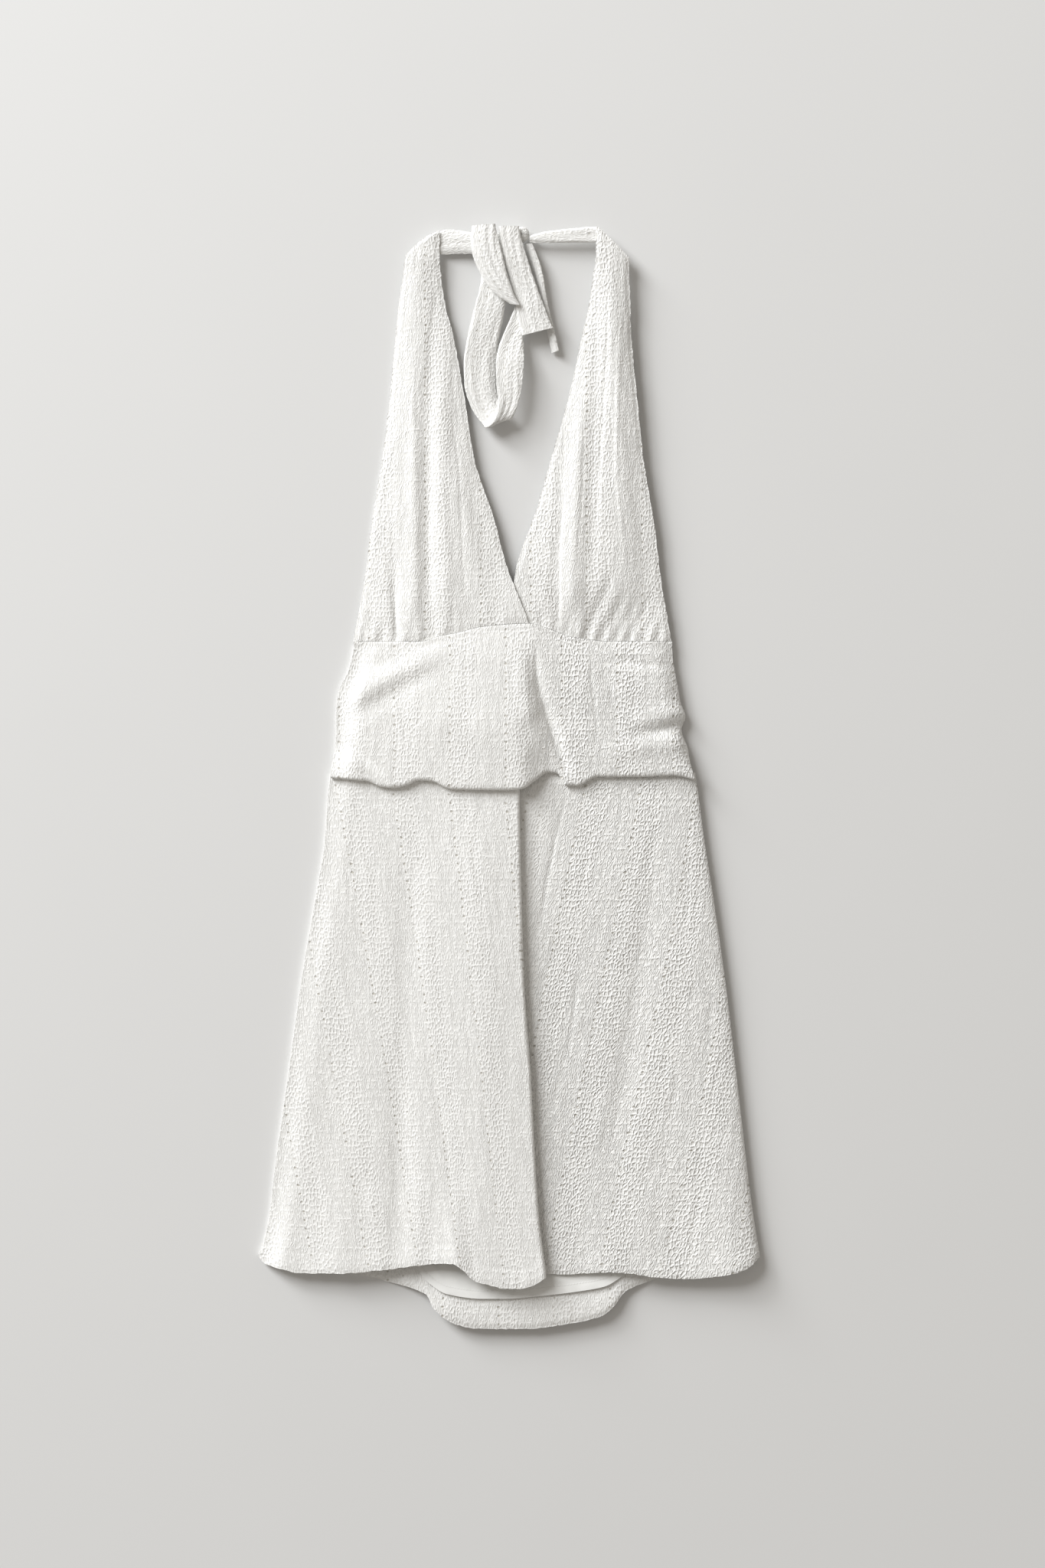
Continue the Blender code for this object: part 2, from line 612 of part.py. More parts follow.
def skirt_right_height(x, y):
    """Middle height of the skirt front right of its knife fold."""
    right = at_y(y, SKIRT, "right")
    fold_x = at_y(y, SKIRT, "fold_x")
    share = (x - fold_x) / (right - fold_x)
    window = ease((right - x) / SKIRT_SIDE_FADE) * ease((x - fold_x) / SKIRT_FOLD_FADE)
    height = blend(at_y(y, SKIRT, "fold_z"), SKIRT_RIGHT_Z, ease(share))
    height = height + at_y(y, SKIRT, "lift") + folds(x, y, SKIRT_FOLDS) * window
    return blend(SIDE_Z + SIDE_CURL, height, side_round(right - x))


def step_height(x, y):
    """Middle height of the skirt front at y, with the step at its knife fold eased out."""
    fold_x = at_y(y, SKIRT, "fold_x")
    drop = pleat_drop(at_y(y, SKIRT, "overlap"))
    beside = skirt_right_height(x, y) + drop * (1 - ease((x - fold_x) / PLEAT_FADE))
    return np.where(x <= fold_x, skirt_left_height(x, y), beside)


def waist_level(x):
    """Greatest height of the skirt front where the roll lies over it."""
    return np.maximum(step_height(x, WAIST_Y), step_height(x, WAIST_Y - ROLL_REACH))


def band_points(columns=41, face_rows=14, turn_rows=5):
    """Middle points of the midriff front, from the cup seam down and round its lower roll."""
    u = np.linspace(0.0, 1.0, columns)[None, :]
    v = np.linspace(0.0, 1.0, face_rows)[:, None]
    y_row = blend(BAND_TOP_Y, BAND_LOW_Y, v)
    x = blend(at_y(y_row, BAND, "left"), at_y(y_row, BAND, "right"), u)
    from_left = x - at_y(y_row, BAND, "left")
    from_right = at_y(y_row, BAND, "right") - x
    rounding = np.minimum(side_rise(from_left), side_round(from_right))
    side_z = np.where(from_left < from_right, SIDE_Z, SIDE_Z + SIDE_CURL)
    radius = blend(ROLL_RADIUS_AT_SIDE, ROLL_RADIUS, rounding[-1:])
    last_x = x[-1:]
    centre_y = at_x(last_x, ROLL_EDGE, "y") + radius
    roll_bottom = waist_level(last_x) + CLOTH + 1.5 * SEAM_GAP
    roll_top = roll_bottom + radius * (1 - np.cos(ROLL_TURN))
    seam_y = at_x(x, CUP_SEAM, "y") - SEAM_GAP / 2
    y = blend(seam_y, centre_y, v)
    z = blend(at_x(x, CUP_SEAM, "z"), roll_top, ease(v))
    window = ease(v / BAND_SEAM_SHARE) * ease((1 - v) / BAND_ROLL_SHARE)
    relief = at_y(y_row, BAND, "puff") + folds(x, y, BAND_FOLDS) * window
    z = z + relief * rounding
    side_height = blend(side_z, roll_top, ease((v - BAND_SIDE_EASE) / (1 - BAND_SIDE_EASE)))
    z = blend(side_height, z, rounding)
    angle = np.linspace(0.0, ROLL_TURN, turn_rows + 1)[1:, None]
    turn_y = centre_y - radius * np.sin(angle)
    turn_z = roll_top - radius * (1 - np.cos(angle))
    end_y = turn_y[-1:] + ROLL_RETURN
    end_z = turn_z[-1:]
    face = grid_of(x, y, z)
    turn = grid_of(last_x, turn_y, turn_z)
    return np.concatenate([face, turn, grid_of(last_x, end_y, end_z)])


def make_midriff_front(material):
    """The slack band in front, which blouses over the waist seam."""
    return wall("midriff_front", band_points(), CLOTH, material, upright_rows=(0,))


def make_midriff_back(material, columns=9, rows=7):
    """The plain band behind, flat on the surface."""
    v = np.linspace(0.0, 1.0, rows)[:, None]
    u = np.linspace(0.0, 1.0, columns)[None, :]
    y = blend(BACK_NECK_Y, WAIST_Y + SEAM_GAP, v)
    right = at_y(y, BAND, "right")
    x = back_columns(at_y(y, BAND, "left"), right, right, u)
    return wall("midriff_back", grid_of(x, y, CLOTH / 2 + side_curl(right - x)), CLOTH, material)


def pleat_path(overlap, turn_steps, run_steps):
    """Sideways and downward steps of the knife fold, seen end on: over, back under and on."""
    turn_length = PLEAT_RADIUS * PLEAT_TURN
    lengths = [turn_length / turn_steps] * turn_steps + [overlap / run_steps] * run_steps
    lengths += [turn_length / turn_steps] * turn_steps
    rising = (np.arange(turn_steps) + 0.5) / turn_steps * PLEAT_TURN
    angles = np.concatenate([rising, np.full(run_steps, PLEAT_TURN), rising[::-1]])
    sideways = np.cumsum(np.array(lengths) * np.cos(angles))
    down = np.cumsum(np.array(lengths) * np.sin(angles))
    return sideways, down


def skirt_front_points(rows=19, left_columns=12, turn_steps=4, run_steps=2, right_columns=12):
    """Middle points of the skirt front: a left run, the knife fold and a right run."""
    hem_y = column(SKIRT, "y")[-1]
    lines = []
    for v in np.linspace(0.0, 1.0, rows):
        y_row = blend(WAIST_Y, hem_y, v)
        left, right = at_y(y_row, SKIRT, "left"), at_y(y_row, SKIRT, "right")
        fold_x, overlap = at_y(y_row, SKIRT, "fold_x"), at_y(y_row, SKIRT, "overlap")
        turn_x = fold_x - PLEAT_RADIUS
        sideways, down = pleat_path(overlap, turn_steps, run_steps)
        left_x = blend(left, turn_x, np.linspace(0.0, 1.0, left_columns) ** 0.9)
        right_x = blend(turn_x + sideways[-1], right, np.linspace(0.0, 1.0, right_columns + 1)[1:])
        left_hem = at_x(left_x, FRONT_HEM_LEFT, "y")
        right_hem = at_x(right_x, FRONT_HEM_RIGHT, "y")
        fold_hem = np.linspace(left_hem[-1], right_hem[0], len(sideways) + 2)[1:-1]
        level = at_y(y_row, SKIRT, "fold_z") + at_y(y_row, SKIRT, "lift")
        top = level + pleat_drop(overlap)
        x = np.concatenate([left_x, turn_x + sideways, right_x])
        z = np.concatenate([
            skirt_left_height(left_x, y_row),
            top - down * (top - level) / down[-1],
            skirt_right_height(right_x, y_row),
        ])
        hem = np.concatenate([left_hem, fold_hem, right_hem])
        y = y_row + v**HEM_POWER * (hem - hem_y)
        lines.append(grid_of(x, y, z))
    return np.stack(lines)


def make_skirt_front(material):
    """The flared front panel with its knife fold."""
    return wall("skirt_front", skirt_front_points(), CLOTH, material)


def back_lift(x, y):
    """How far the back of the skirt curls up from the surface at its drooping hem."""
    window = ease((x - HEM_LIFT_LEFT) / HEM_LIFT_FADE) * ease((HEM_LIFT_RIGHT - x) / HEM_LIFT_FADE)
    return HEM_LIFT * window * ease((HEM_LIFT_TOP - y) / HEM_LIFT_LENGTH)


def panel_points(hem, top_y, inset, rows, columns):
    """Flat points of a flared panel under the skirt front, closer together near its hem."""
    hem_y = column(SKIRT, "y")[-1]
    v = (1.0 - np.linspace(1.0, 0.0, rows) ** HEM_CROWDING)[:, None]
    u = np.linspace(-1.0, 1.0, columns)[None, :]
    u = 0.5 + 0.5 * blend(u, u**3, MIDDLE_CROWDING)
    y_row = blend(top_y, hem_y, v)
    side = at_y(y_row, SKIRT, "right")
    x = back_columns(at_y(y_row, SKIRT, "left") + inset, side, side - inset, u)
    hem_line = at_x(x, hem, "y")
    start = (top_y - y_row) / (top_y - hem_y)
    y = y_row + start**BACK_HEM_POWER * (hem_line - hem_y)
    return x, y


def make_skirt_back(material):
    """The flared back panel, flat on the surface but for its right side and its raised hem."""
    x, y = panel_points(BACK_HEM, WAIST_Y, 0.0, 18, 27)
    height = CLOTH / 2 + back_lift(x, y) + side_curl(at_y(y, SKIRT, "right") - x)
    return wall("skirt_back", grid_of(x, y, height), CLOTH, material)


def make_lining(material):
    """The lining's back panel, which lies on the skirt back."""
    x, y = panel_points(LINING_HEM, WAIST_Y - LINING_INSET, LINING_INSET, 17, 25)
    height = CLOTH + LINING_GAP + LINING_CLOTH / 2 + LINING_RISE * back_lift(x, y)
    height = height + side_curl(at_y(y, SKIRT, "right") - x)
    return wall("skirt_lining", grid_of(x, y, height), LINING_CLOTH, material)


def ribbon_points(stations, steps=2, columns=4):
    """Middle points of a flat tie that runs through its stations, from one edge to the other."""
    position = np.linspace(0.0, len(stations) - 1, (len(stations) - 1) * steps + 1)
    knots = range(len(stations))
    ends = []
    for names in (("x1", "y1", "z1"), ("x2", "y2", "z2")):
        ends.append(np.stack([through(position, knots, column(stations, n)) for n in names], axis=-1))
    first, second = ends
    across = np.linspace(0.0, 1.0, columns)[None, :, None]
    return blend(first[:, None, :], second[:, None, :], across)


def make_tie(name, stations, material):
    """One stretch of a tie. A stretch that runs to the right lists its lower edge first."""
    return wall(name, ribbon_points(stations), TIE_CLOTH, material)


def make_knot(material, segments=16, rings=10):
    """The small tight knot that the straps go into."""
    mesh = bmesh.new()
    bmesh.ops.create_uvsphere(mesh, u_segments=segments, v_segments=rings, radius=1.0)
    for vertex in mesh.verts:
        place = [c + r * v for c, r, v in zip(KNOT_CENTRE, KNOT_RADII, vertex.co)]
        vertex.co = [value * MM for value in place]
    return finish_object("tie_knot", mesh, material)


def build():
    """Build every piece of the dress."""
    clear_scene()
    make_cup_left(cloth_material("cup_left_cloth", OFF_WHITE, MATT))
    make_cup_right(cloth_material("cup_right_cloth", OFF_WHITE, MATT))
    make_midriff_front(cloth_material("midriff_front_cloth", OFF_WHITE, MATT))
    make_midriff_back(cloth_material("midriff_back_cloth", OFF_WHITE, MATT))
    make_skirt_front(cloth_material("skirt_front_cloth", OFF_WHITE, MATT))
    make_skirt_back(cloth_material("skirt_back_cloth", OFF_WHITE, MATT))
    make_lining(cloth_material("lining_cloth", LINING_WHITE, SMOOTH))
    ties = (
        ("neck_strap_left", NECK_STRAP_LEFT),
        ("neck_strap_right", NECK_STRAP_RIGHT),
        ("bow_loop", BOW_LOOP),
        ("tie_band_over", BAND_OVER),
        ("tie_band_under", BAND_UNDER),
        ("tie_band_behind", BAND_BEHIND),
    )
    for name, stations in ties:
        make_tie(name, stations, cloth_material(name + "_cloth", OFF_WHITE, MATT))
    make_knot(cloth_material("knot_cloth", OFF_WHITE, MATT))


build()
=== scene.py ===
"""The looks of a halter dress in crinkled eyelet cotton, laid flat on a pale floor.

The dress's lengths are in millimetres up to the point where a mesh is made. +X is to the right, +Y runs
up the dress towards the neck, and +Z is up from the floor.
"""

from collections import namedtuple

import bpy
import numpy as np
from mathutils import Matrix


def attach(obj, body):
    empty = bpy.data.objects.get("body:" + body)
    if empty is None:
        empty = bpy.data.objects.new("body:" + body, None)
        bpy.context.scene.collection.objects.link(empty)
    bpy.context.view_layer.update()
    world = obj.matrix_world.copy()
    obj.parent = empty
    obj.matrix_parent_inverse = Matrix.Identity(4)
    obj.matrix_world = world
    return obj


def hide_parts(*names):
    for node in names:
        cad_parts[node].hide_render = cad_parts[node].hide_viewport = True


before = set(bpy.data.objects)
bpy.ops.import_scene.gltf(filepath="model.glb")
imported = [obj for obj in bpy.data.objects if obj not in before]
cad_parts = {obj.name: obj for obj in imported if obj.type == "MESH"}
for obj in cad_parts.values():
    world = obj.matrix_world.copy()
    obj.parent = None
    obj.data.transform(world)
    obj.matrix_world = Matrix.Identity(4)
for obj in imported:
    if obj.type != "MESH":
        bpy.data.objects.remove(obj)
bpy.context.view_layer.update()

# The dress's own sizes, as in the solids
MM = 0.001
CLOTH = 1.8
CUP_CLOTH = 2.4
TIE_CLOTH = 2.6
LINING_CLOTH = 1.0
SEAM_GAP = 0.3
LINING_GAP = 0.4
LINING_INSET = 12.0
LINING_RISE = 1.15
WAIST_Y = 3.0
BACK_NECK_Y = 118.0
LEFT_ROUND = 22.0
RIGHT_ROUND = 16.0
SIDE_Z = CLOTH + SEAM_GAP + CLOTH / 2
SIDE_CURL = 4.0
SIDE_CURL_REACH = 30.0
ROLL_RADIUS = 1.6
ROLL_RADIUS_AT_SIDE = 1.2
ROLL_GAP = 1.5 * SEAM_GAP
ROLL_TURN = np.radians(172)
ROLL_RETURN = 3.0
ROLL_REACH = 17.0
PLEAT_RADIUS = 2.0
PLEAT_TURN = np.radians(172)
PLEAT_FADE = 30.0
THIN_LAP = 0.8
LAP_CLOTH = 1.2
CUP_LAP_LEFT = -30.0
CUP_LAP_RIGHT = 42.0
CUP_LAP_TOP = 190.0
CUP_LAP_FADE = 24.0
CUP_EDGE_SHARE = 0.08
CUP_GATHER_Y = 285.0
CUP_SEAM_EASE_Y = 172.0
CUP_SEAM_CALM = 0.5
CUP_CROWN_POWER = 1.5
CUP_SEAM_FADE = 4.0
CUP_CREASE_OVERRUN = 1.0
CUP_CRINKLE_OVERRUN = 2.0
CUP_SEAM_DIP = 0.5
CUP_SEAM_DIP_WIDTH = 2.0
BAND_TOP_Y = 121.0
BAND_LOW_Y = -4.0
BAND_SIDE_EASE = 0.75
BAND_SEAM_SHARE = 0.08
BAND_ROLL_SHARE = 0.15
BAND_CREASE_FADE = 5.0
BAND_CRINKLE_FADE = 3.0
ROLL_CRINKLE_Y = -14.0
ROLL_CRINKLE_FADE = 8.0
BAND_RIDGE = 0.5
BAND_RIDGE_AT = 1.5
BAND_RIDGE_WIDTH = 1.6
SKIRT_LEFT_Z = 5.5
SKIRT_RIGHT_Z = 9.5
SKIRT_SIDE_FADE = 20.0
SKIRT_FOLD_FADE = 12.0
SKIRT_ROW_CROWDING = 1.35
LEFT_COLUMN_CROWDING = 0.9
SKIRT_SIDE_CALM = 5.0
HIDDEN_CRINKLE = 0.35
FOLD_CREASE_GAP = 6.0
FOLD_CREASE_FADE = 10.0
WAIST_RIDGE = 0.7
WAIST_RIDGE_WIDTH = 2.2
WAIST_RIDGE_LEFT_Y = -2.0
WAIST_RIDGE_RIGHT_Y = -6.0
HEM_POWER = 6
BACK_HEM_POWER = 5
HEM_CROWDING = 2.2
MIDDLE_CROWDING = 0.55
HEM_LIFT = 8.5
HEM_LIFT_LEFT = -125.0
HEM_LIFT_RIGHT = 150.0
HEM_LIFT_FADE = 65.0
HEM_LIFT_TOP = -405.0
HEM_LIFT_LENGTH = 80.0
BACK_SHOWS_LIFT = 2.0

# The cloth's finish
EDGE_CLOTH = 1.0
EDGE_FADE = 5.0
RAG = 0.6
RAG_LENGTH = 2.6
RAG_FADE = 2.0
LATTICE_MIDDLE = 0.5
HEM_DEPTH = 17.0
HEM_STEP = 0.12
HEM_STEP_EARLY = 1.5
HEM_STEP_FADE = 2.0
PUCKER_REACH = 7.0
STITCH_DEPTH = 0.22
STITCH_WIDTH = 0.9
LINING_STITCH_AT = 7.0
LINING_STITCH_DEPTH = 0.15
LINING_STITCH_WIDTH = 0.8
CREASE_END_FADE = 12.0
CREASE_INSET = 6.0
TIE_LEAST_WIDTH = 10.0
TIE_EDGE_CROWDING = 0.12
TIE_EDGE_THINNING = 0.62
TIE_EDGE_ROUND = 2.4
TIE_EDGE_CALM = 2.0
TIE_EDGE_CRINKLE = 0.2
TIE_CROWN = 0.5
TIE_GRAIN_SCALE = 1.3
TIE_RAG = 0.35
TIE_RAG_LENGTH = 2.2
TIE_RAG_POWER = 8
NOISE_SIZE = 256
SHARP_EDGE = np.radians(60)
PATTERN_REPEAT = 50.0
EYELET_PITCH = 7.8
EYELET_RADIUS = 1.05
SECOND_COLUMN = 14.0

CLOTH_COLOUR = (0.86, 0.857, 0.84)
# Painted shade: the cloth's colour in the grooves between its raised crinkles
CLOTH_PAINTED_GROOVE_SHADE = (0.79, 0.785, 0.762)
# Painted shade in the eyelet holes, where the layer beneath would show in shade
EYELET_PAINTED_SHADE = (0.42, 0.39, 0.33)
LINING_COLOUR = (0.85, 0.85, 0.83)
LINING_SHADE = (0.78, 0.78, 0.76)
FLOOR_COLOUR = (0.74, 0.74, 0.735)

# The photograph's camera, in millimetres, and its light and floor, in metres
CAMERA_PLACE = (12.4, -7.2, 2600.0)
CAMERA_LENS = 66.25
CAMERA_SENSOR = 36.0
LIGHT_COLOUR = (0.97, 0.985, 1.0)
FILL_COLOUR = (1.0, 0.94, 0.86)
FILL_STRENGTH = 0.345
FLOOR_SIZE = 14.0

# One large soft light from the upper left, and a lower one beside it for the long soft shadows
Light = namedtuple("Light", "name place size power")
LIGHTS = (
    Light("key", (-4.42, 4.42, 4.14), 4.0, 485.0),
    Light("low", (-5.10, 5.10, 2.07), 2.6, 350.0),
)

# What a row of each table holds
CupRow = namedtuple("CupRow", "y left right left_z right_z crown")
SeamPoint = namedtuple("SeamPoint", "x y z")
EdgePoint = namedtuple("EdgePoint", "x y")
BandRow = namedtuple("BandRow", "y left right puff")
SkirtRow = namedtuple("SkirtRow", "y left right fold_x overlap fold_z lift")
Fold = namedtuple("Fold", "width points")
FoldPoint = namedtuple("FoldPoint", "x y height")
Station = namedtuple("Station", "x1 y1 z1 x2 y2 z2")
CreasePoint = namedtuple("CreasePoint", "y x depth width")
Gather = namedtuple("Gather", "x length depth width lean")

# A layer of noise has a height and a size across and along the grain
Ripple = namedtuple("Ripple", "height across along")

# A lean of the grain runs from one slope at an edge to another further in, with a shift of the columns
Lean = namedtuple("Lean", "edge inward reach shift")


def rows_of(kind, *rows):
    """A table of named rows."""
    return tuple(kind(*row) for row in rows)


def fold_of(width, *points):
    """One soft ridge or trough, with the x, y and height of each of its points."""
    return Fold(width, rows_of(FoldPoint, *points))


CUP_LEFT = rows_of(
    CupRow,
    (490, -64, -62.4, 8, 8, 0), (488, -67, -62.4, 8, 8, 0), (484, -75, -62.4, 8, 8, 0.3),
    (475, -86, -62.4, 7.5, 8, 0.5), (467, -93, -62.4, 7, 8, 1), (451, -95, -61, 5.5, 7, 1.5),
    (423, -99, -57, 4, 6, 2.5), (396, -102, -50, 3, 6, 3), (341, -107, -40, 2.2, 6.5, 3.5),
    (285, -114, -31, 1.8, 7, 4), (230, -123, -14, 1.6, 7.5, 4.5), (175, -130, -1, 1.8, 8.5, 4.5),
    (121, -140, 18, 3.2, 10, 3.5),
)

CUP_RIGHT = rows_of(
    CupRow,
    (492, 79, 81, 12, 12, 0), (488, 79, 85, 12, 12, 0), (480, 78.7, 93.5, 12, 12, 0.3),
    (472, 78.5, 101, 12, 12, 0.6), (463, 78, 108, 11.5, 11.5, 1), (451, 76, 108, 10.5, 11, 2),
    (423, 72, 109, 8.5, 10.5, 3), (396, 66, 110, 7, 10, 4), (341, 54, 115, 5, 10, 4),
    (285, 38, 121, 5, 9.5, 4.5), (230, 23, 130, 6, 9, 5), (175, 7, 137, 8, 8.5, 5),
    (121, -1, 146, 10, 7.2, 4),
)

CUP_SEAM = rows_of(
    SeamPoint,
    (-140, 121, 3.2), (-125, 121, 4.8), (-79, 121, 8), (-65, 125, 8.5), (-45, 129, 9), (-24, 134, 9.5),
    (-3, 136, 10), (18, 137, 10), (42, 130, 9), (56, 125, 9), (69, 123, 9), (87, 121, 8.5),
    (132, 121, 9), (147, 121, 7.2),
)

BAND = rows_of(
    BandRow,
    (121, -139, 146.5, 0), (106, -141, 147, 2), (92, -145, 149, 3), (78, -151.5, 151.5, 3),
    (64, -154.5, 154, 2.5), (52, -155, 158, 2), (40, -155, 154.5, 1.5), (23, -156, 160, 1),
    (9, -158.5, 162.5, 0.5), (-12, -161, 168.5, 0),
)

ROLL_EDGE = rows_of(
    EdgePoint,
    (-161, -1), (-127, -4), (-114, -9), (-103, -10), (-93, -8), (-79, -3), (-69, -4), (-51, -11),
    (-3, -12), (11, -11), (24, -3), (35, 4), (44, 3), (52, -8), (61, -8), (80, 0), (120, 0), (149, 1),
    (168, -3),
)

SKIRT = rows_of(
    SkirtRow,
    (3, -160, 167, 9, 4, 4.3, 0), (-18, -162.5, 170, 9, 4.5, 4.4, 0),
    (-60, -165.5, 175.5, 9.5, 6, 4.6, 0), (-101, -172, 182, 10.5, 8, 4.8, 0),
    (-184, -186.5, 194, 13, 12, 5, 0), (-267, -198, 204, 19, 15, 5.2, 0),
    (-349, -210, 213.5, 23.5, 18, 5.5, 1), (-391, -215, 219, 27, 20, 5.8, 2.5),
    (-418, -220.5, 223, 31, 21, 6, 4), (-432, -225, 225, 33, 22, 6.2, 5),
)

FRONT_HEM_LEFT = rows_of(
    EdgePoint,
    (-225, -432), (-220, -438), (-202, -443), (-190, -446), (-155, -446), (-114, -443), (-69, -437),
    (-51, -436), (-42, -441), (-31, -451), (-17, -455), (-3, -458), (11, -458), (24, -454), (33, -448),
)

FRONT_HEM_RIGHT = rows_of(
    EdgePoint,
    (10, -446), (52, -447), (87, -445), (107, -446), (135, -450), (162, -451), (183, -449), (197, -447),
    (214, -441), (225, -432),
)

BACK_HEM = rows_of(
    EdgePoint,
    (-225, -431), (-200, -437), (-155, -446.5), (-134, -449), (-114, -454), (-86, -461), (-73, -467),
    (-69, -476), (-58, -487), (-45, -493), (-31, -496), (18, -496.5), (38, -494), (59, -491),
    (83, -485), (93, -478), (104, -464), (114, -459), (142, -450), (200, -437), (225, -431),
)

LINING_HEM = rows_of(
    EdgePoint,
    (-215, -426), (-120, -434), (-100, -437), (-86, -441), (-72, -455), (-55, -465), (-24, -469),
    (-3, -469), (24, -467), (73, -461), (87, -458), (107, -447), (130, -440), (215, -426),
)

CUP_LEFT_FOLDS = (
    fold_of(7, (-64, 440, 0), (-67, 400, -1), (-72, 330, -1.8), (-73, 230, -2.2), (-72, 160, -2.2),
            (-72, 124, -2)),
    fold_of(7, (-58, 410, 0), (-59, 350, 0.8), (-60, 280, 1.2), (-58, 216, 1), (-56, 150, 0.5),
            (-55, 124, 0.3)),
    fold_of(6, (-88, 400, 0), (-86, 330, 0.9), (-85, 230, 1.1), (-86, 150, 1.2), (-87, 124, 1)),
    fold_of(5, (-104, 230, 0), (-103, 175, -1.8), (-101, 124, -3)),
    fold_of(9, (-80, 470, 0), (-85, 440, 0.7), (-90, 400, 0.9), (-96, 330, 0.8), (-100, 260, 0)),
    fold_of(10, (-52, 320, 0), (-45, 258, 1.5), (-32, 200, 1.2), (-22, 155, 0.4)),
    fold_of(4, (-134, 152, 0), (-122, 139, -1.2), (-112, 126, -1.4)),
    fold_of(4, (-52, 152, 0), (-51, 140, -0.8), (-50, 128, -1.5)),
)

CUP_RIGHT_FOLDS = (
    fold_of(7, (80, 440, 0), (80, 400, -1.2), (79, 330, -1.7), (76, 260, -1.6), (75, 200, -1.2),
            (72, 150, -0.8)),
    fold_of(10, (96, 450, 0), (98, 400, 1.4), (101, 330, 1.7), (104, 258, 1.7), (106, 190, 1),
            (106, 150, 0.4)),
    fold_of(7, (72, 380, 0), (64, 313, 1.4), (60, 230, 1.9), (58, 165, 1.6), (56, 135, 0.8)),
    fold_of(5, (52, 320, 0), (47, 260, -1), (43, 200, -1.5), (41, 135, -1.8)),
    fold_of(4.5, (58, 155, 0), (54, 141, -1.2), (51, 128, -2.4)),
    fold_of(5, (96, 190, 0), (84, 160, -1.4), (70, 126, -2.8)),
    fold_of(4.5, (108, 170, 0), (97, 148, -1.6), (84, 124, -2.8)),
    fold_of(4.5, (119, 166, 0), (109, 146, -1.6), (97, 124, -2.6)),
    fold_of(4.5, (130, 168, 0), (121, 147, -1.8), (109, 124, -2.8)),
    fold_of(4.5, (137, 160, 0), (131, 144, -1.5), (121, 124, -2.4)),
    fold_of(4, (142, 148, 0), (138, 138, -1), (132, 124, -1.8)),
)

BAND_FOLDS = (
    fold_of(9, (-150, 62, 0), (-138, 71, 1.5), (-116, 83, 2), (-86, 99, 1.6), (-58, 112, 0.6),
            (-40, 118, 0)),
    fold_of(7, (-149, 88, 0), (-130, 96, -0.9), (-105, 104, -0.8), (-86, 109, 0)),
    fold_of(9, (-152, 48, 0), (-138, 55, -0.9), (-116, 66, -1.1), (-93, 79, -0.9), (-65, 94, -0.5),
            (-42, 106, 0)),
    fold_of(5, (-156, 44, 0), (-148, 36, -2.2), (-138, 25, -3), (-127, 13, -2.4), (-117, 4, -1)),
    fold_of(7, (-157, 30, 0), (-148, 18, 1.4), (-136, 6, 1.2), (-128, 0, 0.4)),
    fold_of(5.5, (20, 122, 0), (22, 100, -2), (26, 78, -2.8), (33, 58, -3), (42, 34, -2.8),
            (50, 6, -1.8)),
    fold_of(7, (10, 110, 0), (13, 80, 1), (20, 50, 1.4), (32, 20, 1.2), (36, 8, 0.6)),
    fold_of(5.5, (108, 35, 0), (124, 39, -1.6), (138, 41.5, -2.6), (156, 45, -3)),
    fold_of(8, (96, 47, 0), (114, 50, 1), (137, 54, 1.6), (156, 57, 1.8)),
    fold_of(8, (84, 24, 0), (104, 25, 1.2), (134, 27, 1.6), (160, 30, 1.8)),
    fold_of(5, (88, 105, 0), (104, 103, -1.4), (122, 100, -1.5), (142, 98, -0.8)),
    fold_of(22, (-100, 54, 0), (-60, 50, 2), (-20, 40, 1.6), (12, 34, 0)),
)

SKIRT_FOLDS = (
    fold_of(12, (-86, -30, 0), (-88, -90, -0.9), (-97, -330, -1.8), (-100, -432, -2)),
    fold_of(12, (135, -30, 0), (125, -120, -1.3), (105, -270, -1.6), (93, -350, -0.8), (88, -400, 0)),
    fold_of(20, (-31, -30, 0), (-30, -90, 1), (-25, -350, 1), (-24, -430, 0.8)),
    fold_of(10, (-51, -360, 0), (-48, -410, 2), (-46, -438, 3)),
    fold_of(9, (-69, -370, 0), (-71, -415, -1), (-72, -438, -1.5)),
    fold_of(16, (80, -360, 0), (85, -420, 1), (87, -446, 1.5)),
    fold_of(18, (149, -320, 0), (153, -400, -1), (156, -450, -1.5)),
    fold_of(12, (194, -320, 0), (198, -400, 1.1), (200, -446, 1.5)),
    fold_of(16, (-134, -250, 0), (-146, -360, 0.9), (-155, -446, 1.5)),
)

NECK_STRAP_LEFT = rows_of(
    Station,
    (-82.5, 469.5, 5.2, -68, 484.5, 5.2), (-62.4, 469, 5.2, -55.5, 491.5, 5.2),
    (-44.5, 469.5, 5.6, -41, 490, 5.6), (-27.5, 469.5, 6, -25, 487, 6), (-10, 471.5, 6, -10, 488, 6),
    (4.4, 480, 6, 4.4, 488, 6),
)

NECK_STRAP_RIGHT = rows_of(
    Station,
    (19, 479.5, 7, 19, 485.5, 7), (28.5, 479, 8, 28.5, 488, 8), (41.5, 479, 8.8, 41.5, 490, 8.8),
    (62.5, 479, 9.2, 62.5, 492, 9.2), (78.5, 479, 9.2, 78.5, 493, 9.2), (95.5, 469, 9.2, 83, 490, 9.2),
)

